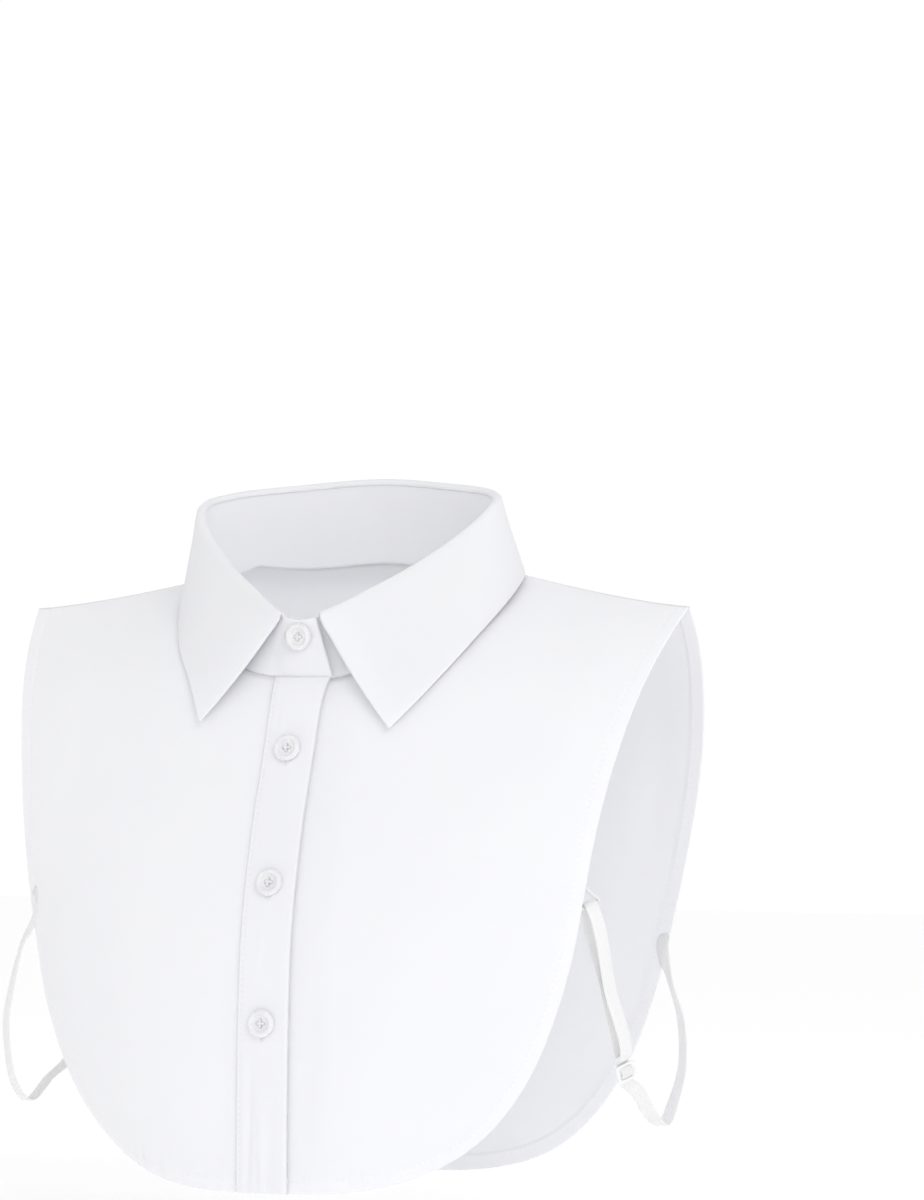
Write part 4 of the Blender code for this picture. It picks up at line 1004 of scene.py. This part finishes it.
for name, facing in seats:
    node = "button_" + name
    low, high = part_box(node)
    seat = (np.array(low) + np.array(high)) / 2 - facing * (BUTTON_HALF_HEIGHT + BUTTON_SINK)
    level = unit(np.cross((0.0, 0.0, 1.0), facing))
    rising = np.cross(facing, level)
    turned = np.stack([level, rising, facing])
    mesh = bpy.data.meshes.new(node)
    mesh.from_pydata((seat + disc_points @ turned).tolist(), [], disc_faces)
    mesh.shade_smooth()
    finished("pearl_" + node, mesh, pearl_look, "buttons", node)

    on_stand = name == "collar"
    long_way, short_way = (level, rising) if on_stand else (rising, level)
    line = seat + buttonhole_line(long_way, short_way, facing, STAND_BEND if on_stand else BAND_BEND)
    run = unit(np.roll(line, -1, axis=0) - np.roll(line, 1, axis=0))
    through = np.repeat(facing[None], len(line), axis=0)
    turn = np.linspace(0, 2 * np.pi, 12, endpoint=False)
    section = np.stack([np.cos(turn), np.sin(turn)], axis=-1) * BUTTONHOLE_THREAD
    mesh = carried("buttonhole_" + name, line, unit(np.cross(run, through)), through, section, closed=True)
    twist_map(mesh, line, len(section))
    finished("buttonhole_" + name, mesh, fine_thread_look, "collar_stand" if on_stand else "front_band")

    route = np.array([
        level * row["place"][0] * BUTTON_HOLE_SPACING + rising * row["place"][1] * BUTTON_HOLE_SPACING
        + facing * (BUTTON_SECTION[0]["height"] + row["rise"]) for row in THREAD_ROUTE])
    widths = np.array([level * row["width"][0] + rising * row["width"][1] for row in THREAD_ROUTE])
    steps = travelled_along(route)
    fine_steps = np.linspace(0, steps[-1], 120)
    line = seat + smooth_through(steps, route, fine_steps)
    run = unit(np.gradient(line, axis=0))
    across = smooth_through(steps, widths, fine_steps)
    across = unit(across - run * (run * across).sum(-1, keepdims=True))
    section = ribbed_profile(THREAD_WIDTH, THREAD_THICKNESS, 3, 0.5)
    mesh = carried("thread_" + name, line, across, np.cross(run, across), section, closed=False)
    twist_map(mesh, line, len(section))
    finished("thread_" + name, mesh, fine_thread_look, "loops")


# The elastic straps
# White ribbed elastic 6 mm wide. One end is sewn into the turned edge of a panel under the
# arm; the tape hangs, passes a slider, turns back through a loop of thread on the other
# panel, and ends sewn round the slider's middle bar.
STRAP_WIDTH = 0.0060
STRAP_THICKNESS = 0.0009
SEWN_HEIGHTS = (0.009, 0.0045, 0.0)
SEWN_INSETS = (0.0034, 0.0031, 0.0022)
SEWN_DEPTHS = (-0.0006, -0.0006, -0.0002)
TAPE_STEP = 0.0010
LOOP_RADIUS = 0.0008
LOOP_HALF_WIDTH = 0.0054
LOOP_CORNER = 0.0018
LOOP_SEWN_IN = 0.0014
LOOP_LENGTH = 0.0090
LOOP_INSET = 0.0012
LOOP_OUT = 0.0022
TURN_RADIUS = 0.0016
SLIDER_BAR = 0.0010
SLIDER_PITCH = 0.0035
SLIDER_SIDE = 0.0014
SLIDER_OPENING = 0.0068
SLIDER_WEAVE = 0.0017
RETURN_END = 0.0070
LEFT_STRAP = {
    "length": 0.31,
    "sewn_height": -0.141,
    "loop_height": -0.1165,
    "free": [
        {"point": (0.1240, 0.0770, -0.1560), "width": (0.66, -0.75, 0.0)},
        {"point": (0.1275, 0.0830, -0.1740), "width": (0.75, -0.65, 0.0)},
        {"point": (0.1300, 0.0785, -0.1920), "width": (0.78, -0.62, 0.0)},
        {"point": (0.1312, 0.0640, -0.2070), "width": (0.88, -0.45, 0.0)},
        {"point": (0.1322, 0.0455, -0.2172), "width": (1.00, 0.15, 0.0)},
        {"point": (0.1318, 0.0270, -0.2105), "width": (0.68, 0.73, 0.0)},
        {"point": (0.1315, 0.0125, -0.2015), "width": (0.52, 0.85, 0.0)},
    ],
    "slider": {"point": (0.1310, -0.0004, -0.1935), "width": (0.56, 0.82, 0.0)},
}
RIGHT_STRAP = {
    "length": 0.33,
    "sewn_height": -0.130,
    "loop_height": -0.1165,
    "free": [
        {"point": (-0.1320, -0.0335, -0.1470), "width": (0.60, -0.80, 0.0)},
        {"point": (-0.1376, -0.0300, -0.1635), "width": (0.72, -0.69, 0.0)},
        {"point": (-0.1412, -0.0275, -0.1790), "width": (0.78, -0.63, 0.0)},
        {"point": (-0.1413, -0.0250, -0.1930), "width": (0.78, -0.63, 0.0)},
        {"point": (-0.1402, -0.0205, -0.2060), "width": (0.85, -0.53, 0.0)},
        {"point": (-0.1385, -0.0105, -0.2135), "width": (0.92, -0.38, 0.0)},
        {"point": (-0.1350, 0.0030, -0.2045), "width": (0.95, -0.30, 0.0)},
    ],
    "slider": {"point": (-0.1292, 0.0159, -0.1885), "width": (1.00, 0.00, 0.0)},
}


def at_edge(side, hand, height, inset, depth):
    """Place a given depth inside a panel's inner face and an inset from its outer edge, and
    the way out of the cloth there."""
    edge = armhole_and_hem(side, 1500)
    edge_height = shoulder_line(edge[:, 0])[1] - edge[:, 1]
    x = np.interp(-height, -edge_height, edge[:, 0]) - inset
    drop = shoulder_line(x)[1] - height
    turn_over = np.array([hand, 1.0, 1.0])
    facing = outward(x, drop, side) * turn_over
    return worn(x, drop, side) * turn_over - facing * depth, facing


def strap_route(plan, hand, sewn_side, apex):
    """Points along a strap with its width directions: from the sewn end by its free points,
    a cosine in and out of the slider, round the loop's bar by half a circle, and back."""
    rows = []
    first = np.array(plan["free"][0]["point"])
    for above, inset, depth in zip(SEWN_HEIGHTS, SEWN_INSETS, SEWN_DEPTHS):
        height = plan["sewn_height"] + above
        point, facing = at_edge(sewn_side, hand, height, inset, depth)
        width = np.cross(facing, first - point)
        rows.append((point, width * np.sign(width[0])))
    rows += [(np.array(row["point"]), np.array(row["width"])) for row in plan["free"]]
    middle = np.array(plan["slider"]["point"])
    run = unit(apex - middle)
    bar = apex - run * LOOP_LENGTH
    width = np.array(plan["slider"]["width"])
    width = unit(width - run * width.dot(run))
    face = np.cross(width, run)
    face = face * -np.sign(face[1])
    for step in (-1.0, -0.5, 0.0, 0.5, 1.0):
        across = SLIDER_WEAVE * np.cos(np.pi * step)
        rows.append((middle + run * SLIDER_PITCH * step + face * across, width))
    rows.append((middle + run * RETURN_END + face * TURN_RADIUS, width))
    halfway = (middle + bar) / 2
    rows.append((halfway + face * TURN_RADIUS, width))
    for angle in np.radians([0.0, 45.0, 90.0, 135.0, 180.0]):
        turned = face * np.cos(angle) + run * np.sin(angle)
        rows.append((bar + turned * TURN_RADIUS, width))
    rows.append((halfway - face * TURN_RADIUS, width))
    rows.append((middle + run * RETURN_END - face * TURN_RADIUS, width))
    points = np.array([row[0] for row in rows])
    widths = unit([row[1] for row in rows])
    return points, widths, {"middle": middle, "run": run, "width": width, "face": face}, bar


def loop_line(corners):
    """Closed line round three corners, each a circular arc that touches both sides."""
    line = []
    for number, corner in enumerate(corners):
        to_last = unit(corners[number - 1] - corner)
        to_next = unit(corners[(number + 1) % 3] - corner)
        half_angle = np.arccos(to_last.dot(to_next)) / 2
        centre = corner + unit(to_last + to_next) * LOOP_CORNER / np.cos(half_angle)
        start = corner + to_last * LOOP_CORNER - centre
        end = corner + to_next * LOOP_CORNER - centre
        turn = np.pi - 2 * half_angle
        part = np.linspace(0, 1, 13)[:, None]
        arm = start * np.sin((1 - part) * turn) + end * np.sin(part * turn)
        line.append(centre + arm / np.sin(turn))
    return np.concatenate(line)


def slider_cage(slider):
    """Corners and faces of a flat frame with two slots and a middle bar, before it is
    thickened and rounded. The grid's faces are left out where a slot is."""
    half_opening = SLIDER_OPENING / 2
    across = np.array([-half_opening - SLIDER_SIDE, -half_opening, half_opening, half_opening + SLIDER_SIDE])
    bars = np.array([-1, 0, 1])[:, None] * SLIDER_PITCH
    along = (bars + np.array([-0.6, 0.6]) * SLIDER_BAR).ravel()
    points = slider["middle"] + across[:, None, None] * slider["width"]
    points = (points + along[None, :, None] * slider["run"]).reshape(-1, 3)
    index = np.arange(24).reshape(4, 6)
    faces = np.stack([index[:-1, :-1], index[1:, :-1], index[1:, 1:], index[:-1, 1:]], axis=-1)
    solid = np.ones((3, 5), dtype=bool)
    solid[1, [1, 3]] = False
    return points, faces[solid]


def moulded(name):
    """Whitish clear plastic: cloudy inside, with a fine mould grain and a soft gloss."""
    made = bpy.data.materials.new(name)
    made.use_nodes = True
    tree = made.node_tree
    shader = tree.nodes["Principled BSDF"]
    shader.inputs["Subsurface Weight"].default_value = 0.5
    shader.inputs["Subsurface Radius"].default_value = (1.0, 1.0, 1.0)
    shader.inputs["Subsurface Scale"].default_value = 0.002
    shader.inputs["Coat Weight"].default_value = 0.15
    place = tree.nodes.new("ShaderNodeTexCoord").outputs["Object"]
    cloud = noise(tree, place, 260.0, 2.0)
    grain = noise(tree, place, 2500.0, 2.0)
    colour = blended(tree, cloud, (0.88, 0.89, 0.90, 1.0), (0.94, 0.94, 0.95, 1.0))
    tree.links.new(colour, shader.inputs["Base Color"])
    bump = tree.nodes.new("ShaderNodeBump")
    bump.inputs["Distance"].default_value = 0.001
    tree.links.new(sums(tree, "MULTIPLY", grain, 0.02), bump.inputs["Height"])
    tree.links.new(bump.outputs["Normal"], shader.inputs["Normal"])
    tree.links.new(sums(tree, "MULTIPLY_ADD", grain, 0.1, 0.3), shader.inputs["Roughness"])
    return made


def elastic(name):
    """White elastic. Its height adds the short crosswise stitches, a sine along the tape that
    changes over from rib to rib, to a fine fuzz of noise; the colour is striped with the ribs."""
    made = bpy.data.materials.new(name)
    made.use_nodes = True
    tree = made.node_tree
    shader = tree.nodes["Principled BSDF"]
    shader.inputs["Sheen Weight"].default_value = 0.2
    shader.inputs["Specular IOR Level"].default_value = 0.3
    shader.inputs["Subsurface Weight"].default_value = 0.5
    shader.inputs["Subsurface Radius"].default_value = (1.0, 1.0, 1.0)
    shader.inputs["Subsurface Scale"].default_value = 0.002
    place = tree.nodes.new("ShaderNodeTexCoord").outputs["Object"]
    along, across = mapped(tree, "tape")
    rib = sums(tree, "SINE", sums(tree, "MULTIPLY", across, 7 * np.pi / STRAP_WIDTH))
    shifted = sums(tree, "ADD", sums(tree, "MULTIPLY", along, 2 * np.pi / 0.0009), rib)
    stitch = sums(tree, "MULTIPLY", sums(tree, "SINE", shifted), 0.035)
    fuzz = noise(tree, place, 900.0, 2.0)
    height = sums(tree, "ADD", stitch, sums(tree, "MULTIPLY", fuzz, 0.05))
    bump = tree.nodes.new("ShaderNodeBump")
    bump.inputs["Distance"].default_value = 0.001
    tree.links.new(height, bump.inputs["Height"])
    tree.links.new(bump.outputs["Normal"], shader.inputs["Normal"])
    light = (0.92, 0.92, 0.92, 1.0)
    shade = (0.84, 0.84, 0.84, 1.0)
    groove = sums(tree, "MULTIPLY_ADD", sums(tree, "MULTIPLY", rib, rib), 0.6, 0.2)
    tree.links.new(blended(tree, groove, shade, light), shader.inputs["Base Color"])
    tree.links.new(sums(tree, "MULTIPLY_ADD", fuzz, 0.2, 0.65), shader.inputs["Roughness"])
    return made


elastic_look = elastic("white_elastic")
loop_look = sewing_thread("white_thread_cord", 0.0013)
slider_look = moulded("clear_slider")
tape_section = ribbed_profile(STRAP_WIDTH, STRAP_THICKNESS, 7, 0.22)
turn = np.linspace(0, 2 * np.pi, 16, endpoint=False)
loop_section = LOOP_RADIUS * np.stack([np.cos(turn), np.sin(turn)], axis=-1)

for hand, plan, sewn_side, loop_side in ((1.0, LEFT_STRAP, BACK, FRONT), (-1.0, RIGHT_STRAP, FRONT, BACK)):
    name = "strap_left" if hand > 0 else "strap_right"
    inside_edge, facing = at_edge(
        loop_side, hand, plan["loop_height"], LOOP_INSET, SEAM_GAP + STRAP_THICKNESS / 2)
    past_edge = unit(np.cross(facing, (0.0, 0.0, 1.0)))
    past_edge = past_edge * np.sign(past_edge[0] * hand)
    apex = inside_edge + past_edge * LOOP_OUT
    knots, knot_widths, slider, bar = strap_route(plan, hand, sewn_side, apex)

    points, faces = slider_cage(slider)
    mesh = bpy.data.meshes.new(name + "_slider")
    mesh.from_pydata(points.tolist(), [], faces.tolist())
    mesh.shade_smooth()
    slider_piece = finished("moulded_" + name + "_slider", mesh, slider_look, "sliders", name + "_slider")
    plate = slider_piece.modifiers.new("Plate", "SOLIDIFY")
    plate.thickness = 1.2 * SLIDER_BAR
    plate.offset = 0.0
    rounded = slider_piece.modifiers.new("Rounded", "SUBSURF")
    rounded.levels = 3
    rounded.render_levels = 3

    travelled = travelled_along(knots)
    places = np.arange(0, travelled[-1], TAPE_STEP)
    tape_middle = smooth_through(travelled, knots, places)
    tape_run = unit(np.gradient(tape_middle, axis=0))
    tape_across = smooth_through(travelled, knot_widths, places)
    tape_across = unit(tape_across - tape_run * (tape_run * tape_across).sum(-1, keepdims=True))
    mesh = carried(
        name, tape_middle, tape_across, np.cross(tape_run, tape_across), tape_section, closed=False)
    along = np.repeat(travelled_along(tape_middle)[:, None], len(tape_section), axis=1)
    across = np.repeat(tape_section[None, :, 0], len(tape_middle), axis=0)
    give_map(mesh, "tape", along, across)
    tape = finished("elastic_" + name, mesh, elastic_look, "elastic", name)

    apex = apex - past_edge * LOOP_SEWN_IN
    line = loop_line([apex, bar + slider["width"] * LOOP_HALF_WIDTH, bar - slider["width"] * LOOP_HALF_WIDTH])
    loop_run = unit(np.roll(line, -1, axis=0) - np.roll(line, 1, axis=0))
    loop_through = np.repeat(np.cross(slider["run"], slider["width"])[None], len(line), axis=0)
    mesh = carried(name + "_loop", line, np.cross(loop_run, loop_through), loop_through, loop_section, closed=True)
    twist_map(mesh, line, len(loop_section))
    finished("cord_" + name + "_loop", mesh, loop_look, "loops", name + "_loop")


# The floor and the light
# A plain white floor just below the hem, and an even white room with one large soft light
# ahead of the wearer's left shoulder.
FLOOR_HEIGHT = -0.262
FLOOR_REACH = 14.0
FLOOR_GLOW = 0.235
ROOM_LIGHT = 0.775
SEEN_ROOM = 1.02
LAMP_POWER = 10.0

ways = np.linspace(-1, 1, 41)
floor_x, floor_y = np.meshgrid(ways * FLOOR_REACH, ways * FLOOR_REACH, indexing="ij")
floor_points = np.stack([floor_x, floor_y, np.full_like(floor_x, FLOOR_HEIGHT)], axis=-1)
floor_index = np.arange(floor_x.size).reshape(floor_x.shape)
floor_faces = np.stack(
    [floor_index[:-1, :-1], floor_index[1:, :-1], floor_index[1:, 1:], floor_index[:-1, 1:]], axis=-1)
floor_mesh = bpy.data.meshes.new("floor")
floor_mesh.from_pydata(floor_points.reshape(-1, 3).tolist(), [], floor_faces.reshape(-1, 4).tolist())
floor_look = bpy.data.materials.new("floor")
floor_look.use_nodes = True
floor_shader = floor_look.node_tree.nodes["Principled BSDF"]
floor_shader.inputs["Base Color"].default_value = (0.96, 0.96, 0.96, 1.0)
floor_shader.inputs["Roughness"].default_value = 1.0
floor_shader.inputs["Emission Color"].default_value = (1.0, 1.0, 1.0, 1.0)
floor_shader.inputs["Emission Strength"].default_value = FLOOR_GLOW
floor_mesh.materials.append(floor_look)
floor = bpy.data.objects.new("floor", floor_mesh)
bpy.context.scene.collection.objects.link(floor)

room = bpy.data.worlds.new("room")
room.use_nodes = True
room_light = room.node_tree.nodes["Background"]
room_light.inputs["Color"].default_value = (1.0, 1.0, 1.0, 1.0)
seen = room.node_tree.nodes.new("ShaderNodeLightPath").outputs["Is Camera Ray"]
room_strength = sums(room.node_tree, "MULTIPLY_ADD", seen, SEEN_ROOM - ROOM_LIGHT, ROOM_LIGHT)
room.node_tree.links.new(room_strength, room_light.inputs["Strength"])
bpy.context.scene.world = room
bpy.context.scene.view_settings.view_transform = "Standard"

lamp = bpy.data.objects.new("soft_light", bpy.data.lights.new("soft_light", "AREA"))
lamp.data.size = 1.2
lamp.data.energy = LAMP_POWER
lamp.location = (1.3, -1.5, 1.1)
lamp.rotation_mode = "QUATERNION"
lamp.rotation_quaternion = (-lamp.location).to_track_quat("-Z", "Y")
bpy.context.scene.collection.objects.link(lamp)

bpy.context.view_layer.update()
